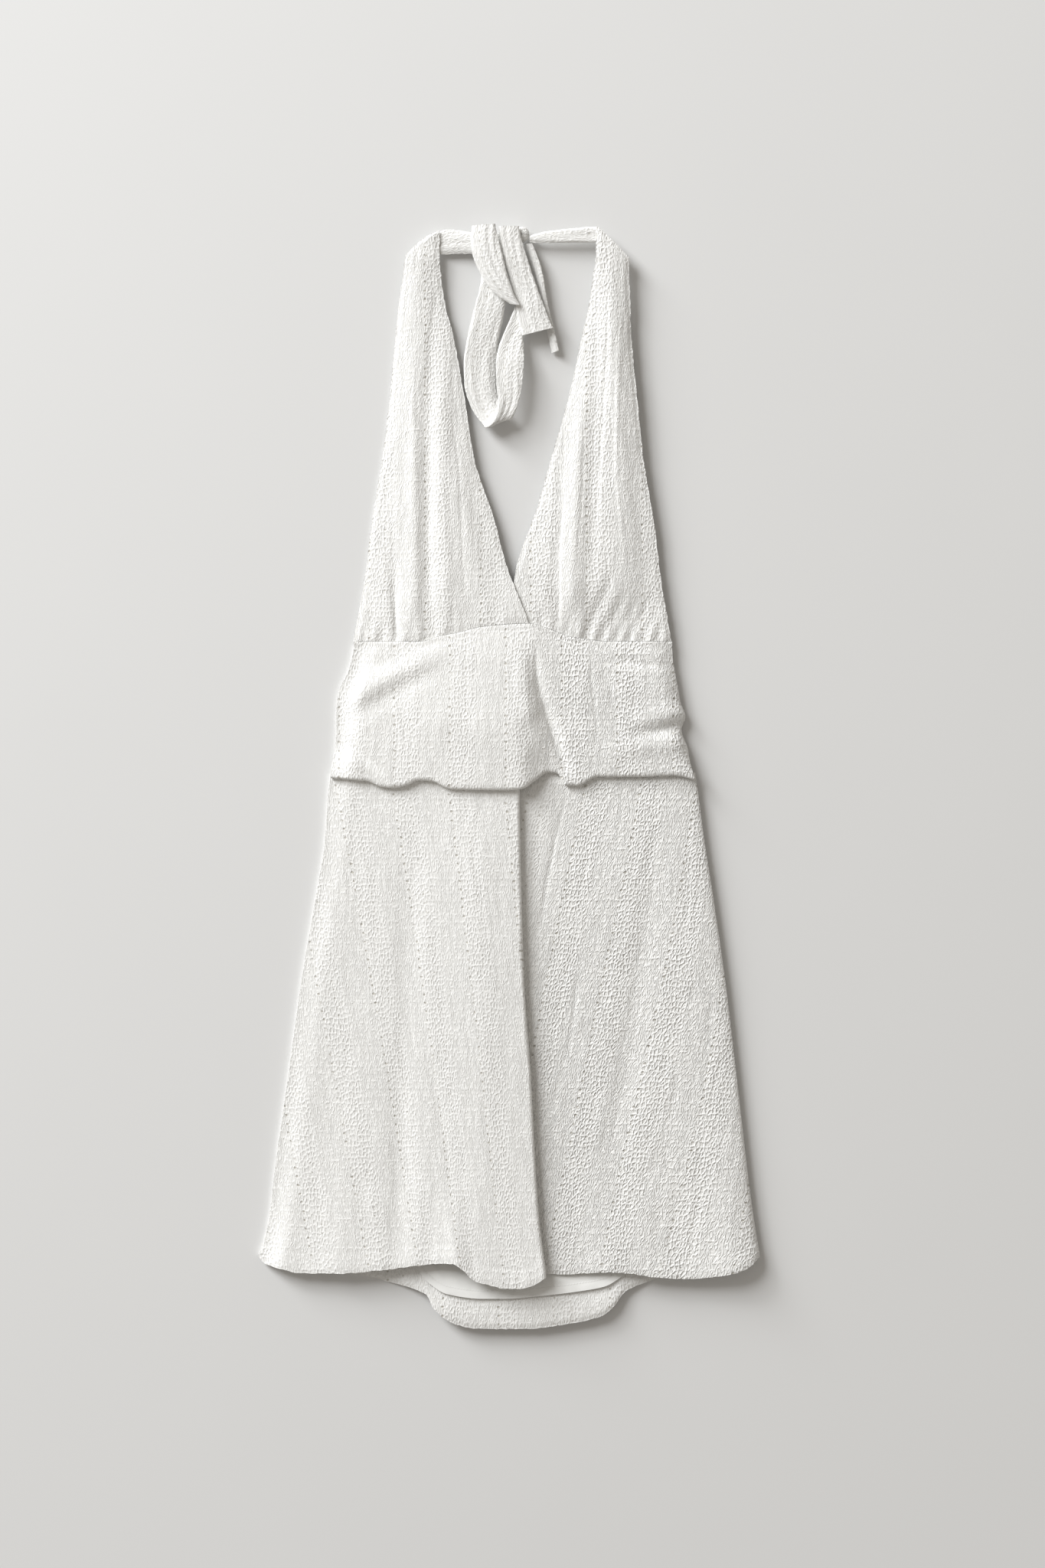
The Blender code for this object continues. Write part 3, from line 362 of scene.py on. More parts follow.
BOW_LOOP = rows_of(
    Station,
    (-23.8, 453.5, 9.1, -2, 449.5, 9.1), (-26, 438.5, 9, -2, 433, 8.8), (-32, 416.5, 8.5, -5, 411, 7.5),
    (-37.6, 392.5, 8, -9.5, 389, 6), (-40.4, 369.5, 7.5, -11.5, 368, 5), (-39.7, 351, 7.5, -12, 353, 5),
    (-35.5, 335.5, 7.5, -10, 340.5, 5), (-29.3, 323.5, 8, -6, 331, 6),
    (-23, 315.5, 9.5, -1, 323.5, 8.5), (-21, 313, 11.5, 2.4, 321, 11.5), (-17, 315, 13.5, 6, 326, 14),
    (-11.5, 325.5, 14.5, 9.3, 336.5, 15), (-10, 339, 15, 11.4, 347.5, 15),
    (-11.4, 354.5, 15, 12.8, 360, 14.5), (-11.4, 369.5, 14.5, 13.5, 372, 13.5),
    (-9.3, 383.5, 12.5, 13.5, 384.5, 10), (-4.5, 397, 10, 12.8, 397, 8.2),
    (2.4, 413, 8.6, 13.5, 411, 8.2), (6.6, 423.5, 8.6, 14.8, 422, 8.6),
)

BAND_OVER = rows_of(
    Station,
    (-33, 493, 13.5, -12, 494.5, 15.2), (-34, 480, 14.5, -9.5, 482.5, 15.3),
    (-32, 466, 15.2, -6, 469, 15.4), (-26.6, 452.5, 15.2, -2.4, 453.5, 15.5),
    (-19, 440, 15.2, 1.7, 440, 15.5), (-8.6, 429.5, 15.2, 6, 429, 15.5),
    (1.7, 422.5, 15.2, 10, 422, 15.5),
)

BAND_UNDER = rows_of(
    Station,
    (-8.6, 493, 12.3, 9.3, 493, 12.3), (-8, 481.5, 12.3, 11.4, 481.5, 12.3),
    (-4.5, 464.5, 12.2, 17, 463.5, 12.2), (-0.3, 449.5, 12, 22.4, 447, 12),
    (3.8, 435.5, 12, 27.3, 433.5, 12), (6, 423.5, 12, 31.4, 422, 12.4),
    (8.6, 409.5, 12, 35.5, 411.5, 12), (12, 395, 12, 39.7, 402, 11.8),
)

BAND_BEHIND = rows_of(
    Station,
    (14, 478.2, 4.5, 21, 478.6, 7), (19, 464.5, 4, 26.6, 464.5, 8), (23.8, 447.5, 4, 30.7, 449.5, 8.2),
    (28.6, 427, 4, 34.2, 428, 8.2), (33.5, 406, 3.5, 39, 407, 8), (39, 380.5, 3, 45.2, 382.5, 7),
)

KNOT_CENTRE = (11.7, 486.5, 6.5)
KNOT_RADII = (6.9, 7.0, 4.2)
KNOT_POLE = 0.04
KNOT_CORE = 0.93
KNOT_WINDING = 0.10
KNOT_TURNS = (1.5, 2.2)
KNOT_ROUGHNESS = Ripple(0.03, 1 / 5, 1 / 9)
KNOT_GRAIN = (7.0, 9.0)

# Where each piece's cloth starts in the pattern of columns
BAND_GRAIN_X = 2.4
BACK_GRAIN_X = 9.0
TIE_GRAIN_X = 42.0
GRAIN_Y = -20.0
LEFT_LEAN = Lean(0.10, 0.185, 150.0, 3.0)
RIGHT_LEAN = Lean(0.15, 0.20, 120.0, -17.0)

# Crinkles that are in the mesh, in layers of noise
WANDER = Ripple(4.0, 30.0, 24.0)
SLIP = Ripple(12.0, 4.0, 35.0)
FINE_CRINKLE = Ripple(0.17, 2.6, 17.0)
BROAD_CRINKLE = Ripple(0.15, 8.0, 30.0)
SOFT_CRINKLE = Ripple(0.2, 22.0, 40.0)
HEM_PUCKER = Ripple(0.12, 3.0, 6.0)
LINING_WAVE = Ripple(0.15, 16.0, 10.0)
TIE_PLEAT = Ripple(0.55, 3.2, 26.0)

# The eyelet cloth's finer pattern, which is in its material
BEND = Ripple(1.8, 7.0, 8.0)
BROAD_BEND = Ripple(6.0, 40.0, 30.0)
SLIDE = Ripple(2.0, 6.0, 9.0)
WORMS = Ripple(1.1, 1.8, 6.5)
NETTING = Ripple(1.0, 3.0, 4.8)
YARN = Ripple(0.25, 0.6, 0.9)
PATCH = Ripple(1.0, 16.0, 30.0)
WIGGLE = Ripple(3.0, 6.0, 6.0)
SHOWN = Ripple(0.7, 30.0, 26.0)
WORM_STEP = (0.0, 0.11)
NET_STEP = (0.02, 0.34)
NET_RANDOMNESS = 0.85
NET_SEED_STEP = 17.0
NET_BAND_X = 2.0
NET_BAND_RISE = (0.0, 4.0)
NET_BAND_FALL = (22.0, 28.0)
NET_OUTSIDE = 0.25
NET_PATCH_LEAST = 0.45
WORMS_OUTSIDE = 0.75
WORMS_LOST_IN_BAND = -0.35
EYELET_EDGE = (0.5, 1.35)
EYELET_DEPTH = -1.1
# How far the eyelet holes' colour goes towards their painted shade
EYELET_SHADE_SHARE = 0.75
SECOND_RADIUS_SHARE = 0.8
SECOND_SHARE = 0.6
SHOWN_STEP = (0.30, 0.55)
SHOWN_LEAST = 0.3
# Painted shade: how the crinkles' raised height moves the colour from the groove shade to the cloth's
# own colour
BOLD_STEP = (0.0, 70.0)
GROOVE_SHADE_STEP = (0.05, 0.75)
CLOTH_ROUGHNESS = 0.92
CLOTH_SHEEN = 0.12
CLOTH_GLOSS = 0.25
SHEEN_ROUGHNESS = 0.6

# The lining's and the floor's finish
LINING_ROUGHNESS = 0.75
LINING_SHEEN = 0.1
LINING_SEED = 5.0
LINING_BUMP = 0.12
WEAVE = Ripple(0.3, 0.4, 0.6)
WEAR = Ripple(1.0, 14.0, 9.0)
WEAR_STEP = (0.3, 0.8)
THREAD_STEP = (0.25, 0.7)
DASH_REPEAT = 2.6
DASH_STEP = (0.25, 0.55)
FLOOR_ROUGHNESS = 0.95
FLOOR_MOTTLE_SCALE = 6.0
FLOOR_MOTTLE_SHADE = 0.985

# Narrow creases of the cloth, each a run of points down the dress
SKIRT_CREASES = (
    rows_of(CreasePoint, (-20, 143, 0.0, 2.2), (-68, 133, -0.15, 1.6), (-115, 127.4, -0.3, 1.6),
            (-160, 118.2, -0.2, 1.6), (-198, 113.2, -0.35, 1.6), (-253, 101.2, -0.25, 1.6),
            (-290, 95, -0.15, 1.6), (-324, 85.5, -0.3, 1.6), (-372, 75.7, -0.2, 1.6),
            (-417, 67, -0.2, 2.4)),
    rows_of(CreasePoint, (-40, 144, 0.0, 2.0), (-115, 133, -0.15, 2.0), (-190, 119, -0.1, 2.4),
            (-253, 108, -0.3, 2.0), (-320, 93, -0.1, 2.0), (-372, 81.5, -0.2, 2.2),
            (-430, 71, -0.1, 2.0)),
    rows_of(CreasePoint, (-20, 51, -0.3, 1.7), (-44, 45, -0.8, 1.7), (-92, 35, -0.8, 1.7),
            (-128, 29.6, -0.6, 1.7), (-160, 23, -0.2, 1.7)),
    rows_of(CreasePoint, (-170, 64, 0.0, 1.7), (-196, 60.4, -0.6, 1.7), (-233, 56, -0.6, 1.7),
            (-297, 39.5, -0.3, 1.7)),
    rows_of(CreasePoint, (-60, 163, 0.0, 2.4), (-120, 161, -0.3, 2.6), (-190, 154, -0.1, 2.6),
            (-290, 149, -0.35, 2.8), (-360, 139, -0.1, 2.6), (-430, 131, -0.2, 2.6)),
    rows_of(CreasePoint, (-150, 182, 0.0, 2.6), (-220, 181, -0.4, 2.8), (-290, 175, -0.2, 2.8),
            (-360, 171, -0.45, 3.0), (-435, 163, -0.3, 2.8)),
    rows_of(CreasePoint, (-30, -88, 0.0, 2.6), (-160, -84, -0.2, 3.0), (-330, -57, -0.3, 3.0),
            (-435, -44, -0.1, 2.8)),
)

BAND_CREASES = (
    rows_of(CreasePoint, (118, 24, -0.4, 1.5), (92, 25.5, -0.9, 1.5), (65, 31, -0.9, 1.6),
            (30, 41, -0.6, 1.8)),
    rows_of(CreasePoint, (110, 58, 0.0, 1.5), (84, 56, -0.4, 1.6), (50, 60, -0.3, 1.6),
            (14, 62, 0.0, 1.6)),
    rows_of(CreasePoint, (104, 96, 0.0, 1.6), (78, 92, -0.3, 1.8), (40, 97, -0.35, 1.8),
            (12, 93, 0.0, 1.6)),
    rows_of(CreasePoint, (96, 116, 0.0, 1.6), (66, 112, -0.35, 1.8), (36, 118, 0.0, 1.6)),
    rows_of(CreasePoint, (112, 76, 0.0, 1.5), (90, 74, -0.5, 1.5), (45, 79, -0.5, 1.5),
            (15, 76, -0.2, 1.5)),
    rows_of(CreasePoint, (100, -118, 0.0, 1.6), (70, -104, 0.4, 1.8), (30, -96, 0.3, 1.8),
            (5, -99, 0.0, 1.8)),
)

CUP_LEFT_CREASES = (
    rows_of(CreasePoint, (420, -68, 0.0, 2.0), (380, -72, -0.35, 2.2), (300, -70, -0.25, 2.4),
            (200, -71, -0.3, 2.4), (135, -68, -0.2, 2.2)),
    rows_of(CreasePoint, (400, -82, 0.0, 2.2), (330, -86, 0.3, 2.6), (250, -84, 0.25, 2.6),
            (160, -82, 0.15, 2.4)),
    rows_of(CreasePoint, (175, -103, 0.0, 1.4), (150, -102, -0.9, 1.5), (124, -101, -1.2, 1.6)),
    rows_of(CreasePoint, (340, -52, 0.0, 1.6), (260, -44, -0.5, 1.8), (170, -40, -0.3, 1.8)),
)

CUP_RIGHT_CREASES = (
    rows_of(CreasePoint, (440, 90, 0.0, 1.6), (380, 88, -0.6, 1.8), (300, 83, -0.6, 1.8),
            (230, 79, -0.4, 1.8)),
    rows_of(CreasePoint, (260, 50, 0.0, 1.4), (200, 46, -0.8, 1.4), (140, 45, -0.8, 1.4)),
    rows_of(CreasePoint, (420, 101, 0.0, 1.6), (360, 98, 0.5, 1.8), (280, 97, 0.5, 1.8),
            (200, 104, 0.2, 1.8)),
    rows_of(CreasePoint, (330, 68, 0.0, 1.6), (260, 66, -0.6, 1.8), (180, 60, -0.4, 1.8)),
)

# Small gathers at the cup seam
CUP_LEFT_GATHERS = rows_of(
    Gather,
    (-130, 22, -0.8, 2.0, 0.10), (-121, 34, 0.8, 2.4, 0.12), (-113, 26, -1.0, 2.0, 0.05),
    (-94, 30, 0.9, 2.4, -0.05), (-81, 40, 0.7, 2.6, 0.02), (-66, 28, -0.6, 2.2, 0.0),
    (-57, 20, 0.5, 2.0, -0.04), (-40, 26, -0.5, 2.4, -0.08), (-27, 18, 0.4, 2.0, -0.1),
    (-12, 22, -0.4, 2.2, -0.1),
)

CUP_RIGHT_GATHERS = rows_of(
    Gather,
    (30, 20, -0.6, 2.0, -0.05), (38, 26, 0.6, 2.2, 0.0), (63, 30, 1.0, 2.2, 0.15),
    (76, 34, 1.1, 2.2, 0.2), (88, 28, 1.0, 2.0, 0.22), (101, 30, 1.1, 2.2, 0.25),
    (112, 26, 1.0, 2.0, 0.28), (126, 30, 1.0, 2.2, 0.3), (134, 20, -0.8, 1.8, 0.25),
    (140, 16, 0.6, 1.8, 0.2),
)


def ease(t):
    """A soft step from 0 to 1 as t goes from 0 to 1."""
    t = np.clip(t, 0.0, 1.0)
    return t * t * (3.0 - 2.0 * t)


def blend(a, b, t):
    """The value a share t of the way from a to b."""
    return a + (b - a) * t


def through(t, knots, values):
    """A smooth curve through the values at rising knots, with no overshoot."""
    knots = np.asarray(knots, float)
    values = np.asarray(values, float)
    step = np.diff(knots)
    slope = np.diff(values) / step
    tangent = np.zeros_like(values)
    tangent[0], tangent[-1] = slope[0], slope[-1]
    product = slope[:-1] * slope[1:]
    total = slope[:-1] + slope[1:]
    same_sign = product > 0
    tangent[1:-1][same_sign] = 2.0 * product[same_sign] / total[same_sign]
    t = np.clip(t, knots[0], knots[-1])
    i = np.clip(np.searchsorted(knots, t, side="right") - 1, 0, len(step) - 1)
    f = (t - knots[i]) / step[i]
    rise = values[i + 1] - values[i]
    start = tangent[i] * step[i]
    end = tangent[i + 1] * step[i]
    return values[i] + f * (start + f * (3 * rise - 2 * start - end + f * (start + end - 2 * rise)))


def bell(distance, width):
    """A soft bump that is 1 where the distance is 0."""
    return np.exp(-((distance / width) ** 2))


def column(table, name):
    """One named column of a table."""
    return np.array([getattr(row, name) for row in table], float)


def at_y(y, table, name):
    """A table's column at height y up the dress, for a table that runs downwards."""
    return through(-np.asarray(y, float), -column(table, "y"), column(table, name))


def at_x(x, table, name):
    """A table's column at x across the dress."""
    return through(x, column(table, "x"), column(table, name))


def folds(x, y, table):
    """Height that a table of soft ridges and troughs adds at each point."""
    total = np.zeros(np.broadcast(x, y).shape)
    for fold in table:
        nearest = np.full(total.shape, np.inf)
        height = np.zeros(total.shape)
        for start, end in zip(fold.points, fold.points[1:]):
            run_x = end.x - start.x
            run_y = end.y - start.y
            along = ((x - start.x) * run_x + (y - start.y) * run_y) / (run_x**2 + run_y**2)
            along = np.clip(along, 0.0, 1.0)
            distance = np.hypot(x - start.x - along * run_x, y - start.y - along * run_y)
            closer = distance < nearest
            nearest = np.where(closer, distance, nearest)
            height = np.where(closer, blend(start.height, end.height, along), height)
        total += height * bell(nearest, fold.width)
    return total


def creases(x, y, runs):
    """Height that narrow creases add at each point."""
    total = np.zeros(np.broadcast(x, y).shape)
    for run in runs:
        top, bottom = run[0].y, run[-1].y
        inside = ease((top - y) / CREASE_END_FADE + 1) * ease((y - bottom) / CREASE_END_FADE + 1)
        distance = x - at_y(y, run, "x")
        total += inside * at_y(y, run, "depth") * bell(distance, at_y(y, run, "width"))
    return total


def gathers(x, above_seam, table):
    """Height that small gathers add at each point above their seam."""
    total = np.zeros(np.broadcast(x, above_seam).shape)
    for gather in table:
        fade = 1.0 - ease(above_seam / gather.length)
        middle = gather.x + gather.lean * above_seam
        width = gather.width * (1.0 + above_seam / gather.length)
        total += gather.depth * fade * bell(x - middle, width)
    return total


def noise(u, v, seed):
    """Smooth seeded noise from -1 to 1 on a lattice of unit squares."""
    lattice = np.random.default_rng(seed).uniform(-1.0, 1.0, (NOISE_SIZE, NOISE_SIZE))
    u, v = np.broadcast_arrays(u, v)
    i, j = np.floor(u).astype(int), np.floor(v).astype(int)
    f, g = ease(u - i), ease(v - j)
    near_i, near_j = i % NOISE_SIZE, j % NOISE_SIZE
    far_i, far_j = (i + 1) % NOISE_SIZE, (j + 1) % NOISE_SIZE
    low = blend(lattice[near_i, near_j], lattice[far_i, near_j], f)
    high = blend(lattice[near_i, far_j], lattice[far_i, far_j], f)
    return blend(low, high, g)


def ripple(u, v, layer, seed):
    """One layer of noise at its own height and size."""
    return layer.height * noise(u / layer.across, v / layer.along, seed)


def crinkle(u, v, seed):
    """Height of the cloth's larger crinkles, which run along its grain."""
    bent = u + ripple(u, v, WANDER, seed)
    slid = v + ripple(u, v, SLIP, seed + 4)
    fine = ripple(bent, slid, FINE_CRINKLE, seed + 1)
    broad = ripple(bent, slid, BROAD_CRINKLE, seed + 2)
    return fine + broad + ripple(u, v, SOFT_CRINKLE, seed + 3)


def ragged(distance, along, seed):
    """How far a cut edge wanders, fading with distance in from it."""
    return RAG * noise(along / RAG_LENGTH, LATTICE_MIDDLE, seed) * bell(distance, RAG_FADE)


def thin_edge(distance, thickness):
    """Thickness at a distance in from a free edge."""
    return blend(EDGE_CLOTH, thickness, ease(distance / EDGE_FADE))


def hem_relief(above_hem, along, seed):
    """Height of a turned-up hem and its line of stitching."""
    above_stitch = above_hem - HEM_DEPTH
    pucker = ripple(along, above_hem, HEM_PUCKER, seed) * bell(above_stitch, PUCKER_REACH)
    groove = -STITCH_DEPTH * bell(above_stitch, STITCH_WIDTH)
    turned_up = 1.0 - ease((above_stitch + HEM_STEP_EARLY) / HEM_STEP_FADE)
    return HEM_STEP * turned_up + groove + pucker


def side_rise(distance):
    """Share of the full height at a distance in from the left side, which lies low and soft."""
    return ease(distance / LEFT_ROUND)


def side_round(distance):
    """Share of the full height at a distance in from the right side, which stands up rounded."""
    inward = np.clip(distance / RIGHT_ROUND, 0.0, 1.0)
    return np.sqrt(1.0 - (1.0 - inward) ** 2)


def side_curl(distance):
    """How far the back stands up at a distance in from the right side."""
    return SIDE_CURL * ease(1.0 - distance / SIDE_CURL_REACH)


def unit(vectors):
    """The same vectors at length 1."""
    return vectors / np.linalg.norm(vectors, axis=-1, keepdims=True)


def grid_of(x, y, z):
    """Stack three arrays into one grid of points."""
    return np.stack(np.broadcast_arrays(x, y, z), axis=-1).astype(float)


def pair_of(u, v):
    """Stack two arrays into one grid of grain places."""
    return np.stack(np.broadcast_arrays(u, v), axis=-1).astype(float)


def shell(name, middle, relief, thickness, grain, upright_rows=()):
    """A closed cloth shell around a grid of middle points, raised by its relief.

    In upright_rows the shell's edge stands upright, so that it meets the piece across a seam.
    """
    rows, columns = middle.shape[:2]
    normal = unit(np.cross(np.gradient(middle, axis=0), np.gradient(middle, axis=1)))
    for row in upright_rows:
        normal[row, :, 1] = 0.0
        normal[row] = unit(normal[row])
    middle = middle + normal * np.broadcast_to(relief, (rows, columns))[..., None]
    half = np.broadcast_to(thickness, (rows, columns))[..., None] / 2
    upper = (middle + normal * half).reshape(-1, 3)
    lower = (middle - normal * half).reshape(-1, 3)
    index = np.arange(rows * columns).reshape(rows, columns)
    under = index + rows * columns
    top = [index[:-1, :-1], index[1:, :-1], index[1:, 1:], index[:-1, 1:]]
    bottom = [under[:-1, :-1], under[:-1, 1:], under[1:, 1:], under[1:, :-1]]
    rim = np.concatenate([index[0], index[1:, -1], index[-1, -2::-1], index[-2:0:-1, 0]])
    onward = np.roll(rim, -1)
    edge = np.stack([rim, onward, onward + rows * columns, rim + rows * columns], axis=-1)
    faces = np.concatenate([
        np.stack(top, axis=-1).reshape(-1, 4),
        np.stack(bottom, axis=-1).reshape(-1, 4),
        edge,
    ])
    points = np.concatenate([upper, lower]) * MM
    flat = grain.reshape(-1, 2)
    return make_mesh(name, points, faces.tolist(), np.concatenate([flat, flat]))


def make_mesh(name, points, faces, grain):
    """A smooth-shaded object from points in metres, with its grain places as a UV map."""
    data = bpy.data.meshes.new(name)
    data.from_pydata(points.tolist(), [], faces)
    corner = np.empty(len(data.loops), dtype=np.int32)
    data.loops.foreach_get("vertex_index", corner)
    layer = data.uv_layers.new(name="grain")
    layer.data.foreach_set("uv", grain[corner].astype(np.float32).ravel())
    data.shade_smooth()
    data.set_sharp_from_angle(angle=SHARP_EDGE)
    thing = bpy.data.objects.new(name, data)
    bpy.context.scene.collection.objects.link(thing)
    return thing


def cup_grid(table, fold_table, lap, rows, columns):
    """Middle points of a cup, gathered into its seam. lap is +1 on top at the V point, -1 below."""
    position = np.linspace(0.0, len(table) - 1, rows)
    y_row = np.interp(position, range(len(table)), column(table, "y"))[:, None]
    u = np.linspace(0.0, 1.0, columns)[None, :]
    x = blend(at_y(y_row, table, "left"), at_y(y_row, table, "right"), u)
    bottom = column(table, "y")[-1]
    seam_y = at_x(x, CUP_SEAM, "y") + SEAM_GAP / 2
    y = y_row + ease((CUP_GATHER_Y - y_row) / (CUP_GATHER_Y - bottom)) * (seam_y - bottom)
    z = blend(at_y(y_row, table, "left_z"), at_y(y_row, table, "right_z"), u)
    z = z + at_y(y_row, table, "crown") * np.sin(np.pi * u) ** CUP_CROWN_POWER
    to_seam = ease((CUP_SEAM_EASE_Y - y_row) / (CUP_SEAM_EASE_Y - bottom))
    z = blend(z, at_x(x, CUP_SEAM, "z"), to_seam)
    edge = ease(u / CUP_EDGE_SHARE) * ease((1.0 - u) / CUP_EDGE_SHARE)
    z = z + folds(x, y, fold_table) * edge * (1.0 - CUP_SEAM_CALM * to_seam)
    window = ease((x - CUP_LAP_LEFT) / CUP_LAP_FADE) * ease((CUP_LAP_RIGHT - x) / CUP_LAP_FADE)
    window = window * ease((CUP_LAP_TOP - y) / CUP_LAP_FADE)
    return x, y, z + lap * THIN_LAP * window, blend(CUP_CLOTH, LAP_CLOTH, window)


def make_cup(name, table, fold_table, crease_table, gather_table, lap, shift, seed):
    """One gathered cup with its crinkles, creases and small gathers."""
    x, y, z, full = cup_grid(table, fold_table, lap, rows=190, columns=122)
    left, right = x[:, :1], x[:, -1:]
    inward = np.minimum(x - left, right - x)
    above_seam = y - at_x(x, CUP_SEAM, "y")
    in_from_side = ease(inward / CREASE_INSET)
    calm = in_from_side * ease((above_seam + CUP_CREASE_OVERRUN) / CUP_SEAM_FADE)
    relief = crinkle(x, y, seed) + creases(x, y, crease_table) * calm
    relief = relief + gathers(x, above_seam, gather_table) * in_from_side
    relief = relief * ease((above_seam + CUP_CRINKLE_OVERRUN) / CUP_SEAM_FADE)
    relief = relief - CUP_SEAM_DIP * bell(above_seam, CUP_SEAM_DIP_WIDTH)
    x = x + ragged(x - left, y, seed + 7) - ragged(right - x, y, seed + 8)
    below_top = table[0].y - y
    thickness = thin_edge(np.minimum(inward, below_top), full)
    grain = pair_of(x + shift, y)
    return shell(name, grid_of(x, y, z), relief, thickness, grain, upright_rows=(-1,))


def pleat_drop(overlap):
    """Height that the knife fold takes up, from its upper layer to its lower one."""
    turns = 2 * PLEAT_RADIUS * (1 - np.cos(PLEAT_TURN))
    return turns + overlap * np.sin(PLEAT_TURN)


def skirt_left_height(x, y):
    """Middle height of the skirt front left of its knife fold."""
    left = at_y(y, SKIRT, "left")
    fold_x = at_y(y, SKIRT, "fold_x")
    top = at_y(y, SKIRT, "fold_z") + pleat_drop(at_y(y, SKIRT, "overlap"))
    share = (x - left) / (fold_x - left)
    window = ease((x - left) / SKIRT_SIDE_FADE) * ease((fold_x - x) / SKIRT_FOLD_FADE)
    height = blend(SKIRT_LEFT_Z, top, ease(share)) + at_y(y, SKIRT, "lift")
    height = height + folds(x, y, SKIRT_FOLDS) * window
    return blend(SIDE_Z, height, side_rise(x - left))


def skirt_right_height(x, y):
    """Middle height of the skirt front right of its knife fold."""
    right = at_y(y, SKIRT, "right")
    fold_x = at_y(y, SKIRT, "fold_x")
    share = (x - fold_x) / (right - fold_x)
    window = ease((right - x) / SKIRT_SIDE_FADE) * ease((x - fold_x) / SKIRT_FOLD_FADE)
    height = blend(at_y(y, SKIRT, "fold_z"), SKIRT_RIGHT_Z, ease(share))
    height = height + at_y(y, SKIRT, "lift") + folds(x, y, SKIRT_FOLDS) * window
    return blend(SIDE_Z + SIDE_CURL, height, side_round(right - x))


def step_height(x, y):
    """Middle height of the skirt front at y, with the step at its knife fold eased out."""
    fold_x = at_y(y, SKIRT, "fold_x")
    drop = pleat_drop(at_y(y, SKIRT, "overlap"))
    beside = skirt_right_height(x, y) + drop * (1 - ease((x - fold_x) / PLEAT_FADE))
    return np.where(x <= fold_x, skirt_left_height(x, y), beside)


def waist_level(x):
    """Greatest height of the skirt front where the roll lies over it."""
    return np.maximum(step_height(x, WAIST_Y), step_height(x, WAIST_Y - ROLL_REACH))


def make_midriff_front(columns=236, face_rows=66, turn_rows=14, seed=31):
    """The slack band in front, from the cup seam down and round its lower roll."""
    u = np.linspace(0.0, 1.0, columns)[None, :]
    v = np.linspace(0.0, 1.0, face_rows)[:, None]
    y_row = blend(BAND_TOP_Y, BAND_LOW_Y, v)
    x = blend(at_y(y_row, BAND, "left"), at_y(y_row, BAND, "right"), u)
    from_left = x - at_y(y_row, BAND, "left")
    from_right = at_y(y_row, BAND, "right") - x
    rounding = np.minimum(side_rise(from_left), side_round(from_right))
    side_z = np.where(from_left < from_right, SIDE_Z, SIDE_Z + SIDE_CURL)
    radius = blend(ROLL_RADIUS_AT_SIDE, ROLL_RADIUS, rounding[-1:])
    last_x = x[-1:]
    centre_y = at_x(last_x, ROLL_EDGE, "y") + radius
    roll_bottom = waist_level(last_x) + CLOTH + ROLL_GAP
    roll_top = roll_bottom + radius * (1 - np.cos(ROLL_TURN))
    seam_y = at_x(x, CUP_SEAM, "y") - SEAM_GAP / 2
    y = blend(seam_y, centre_y, v)
    z = blend(at_x(x, CUP_SEAM, "z"), roll_top, ease(v))
    window = ease(v / BAND_SEAM_SHARE) * ease((1 - v) / BAND_ROLL_SHARE)
    relief = at_y(y_row, BAND, "puff") + folds(x, y, BAND_FOLDS) * window
    z = z + relief * rounding
    side_height = blend(side_z, roll_top, ease((v - BAND_SIDE_EASE) / (1 - BAND_SIDE_EASE)))
    z = blend(side_height, z, rounding)
    angle = np.linspace(0.0, ROLL_TURN, turn_rows + 1)[1:, None]
    turn_y = centre_y - radius * np.sin(angle)
    turn_z = roll_top - radius * (1 - np.cos(angle))
    face = grid_of(x, y, z)
    turn = grid_of(last_x, turn_y, turn_z)
    end = grid_of(last_x, turn_y[-1:] + ROLL_RETURN, turn_z[-1:])
    middle = np.concatenate([face, turn, end])
    all_x = middle[..., 0]
    last_down = centre_y - radius * ROLL_TURN - ROLL_RETURN
    down = np.concatenate([y, centre_y - radius * angle, last_down])
    below_seam = seam_y[:1] - down
    inward = np.minimum(from_left, from_right)[0]
    calm = ease(inward / CREASE_INSET) * ease(below_seam / BAND_CREASE_FADE)
    relief = crinkle(all_x, down, seed) * ease(below_seam / BAND_CRINKLE_FADE)
    relief = relief * ease((down - ROLL_CRINKLE_Y) / ROLL_CRINKLE_FADE)
    relief = relief + creases(all_x, down, BAND_CREASES) * calm
    relief = relief + BAND_RIDGE * bell(below_seam - BAND_RIDGE_AT, BAND_RIDGE_WIDTH)
    grain = pair_of(all_x + BAND_GRAIN_X, down)
    return shell("cloth_midriff_front", middle, relief, CLOTH, grain, upright_rows=(0,))


def make_midriff_back(columns=60, rows=30):
    """The plain band behind, flat on the surface."""
    v = np.linspace(0.0, 1.0, rows)[:, None]
    u = np.linspace(0.0, 1.0, columns)[None, :]
    y = blend(BACK_NECK_Y, WAIST_Y + SEAM_GAP, v)
    right = at_y(y, BAND, "right")
    x = blend(at_y(y, BAND, "left"), right, u)
    middle = grid_of(x, y, CLOTH / 2 + side_curl(right - x))
    return shell("cloth_midriff_back", middle, 0.0, CLOTH, pair_of(x, y))


def pleat_path(overlap, turn_steps, run_steps):
    """Sideways and downward steps of the knife fold, seen end on: over, back under and on."""
    turn_length = PLEAT_RADIUS * PLEAT_TURN
    lengths = [turn_length / turn_steps] * turn_steps + [overlap / run_steps] * run_steps
    lengths += [turn_length / turn_steps] * turn_steps
    rising = (np.arange(turn_steps) + 0.5) / turn_steps * PLEAT_TURN
    angles = np.concatenate([rising, np.full(run_steps, PLEAT_TURN), rising[::-1]])
    sideways = np.cumsum(np.array(lengths) * np.cos(angles))
    down = np.cumsum(np.array(lengths) * np.sin(angles))
    return sideways, down


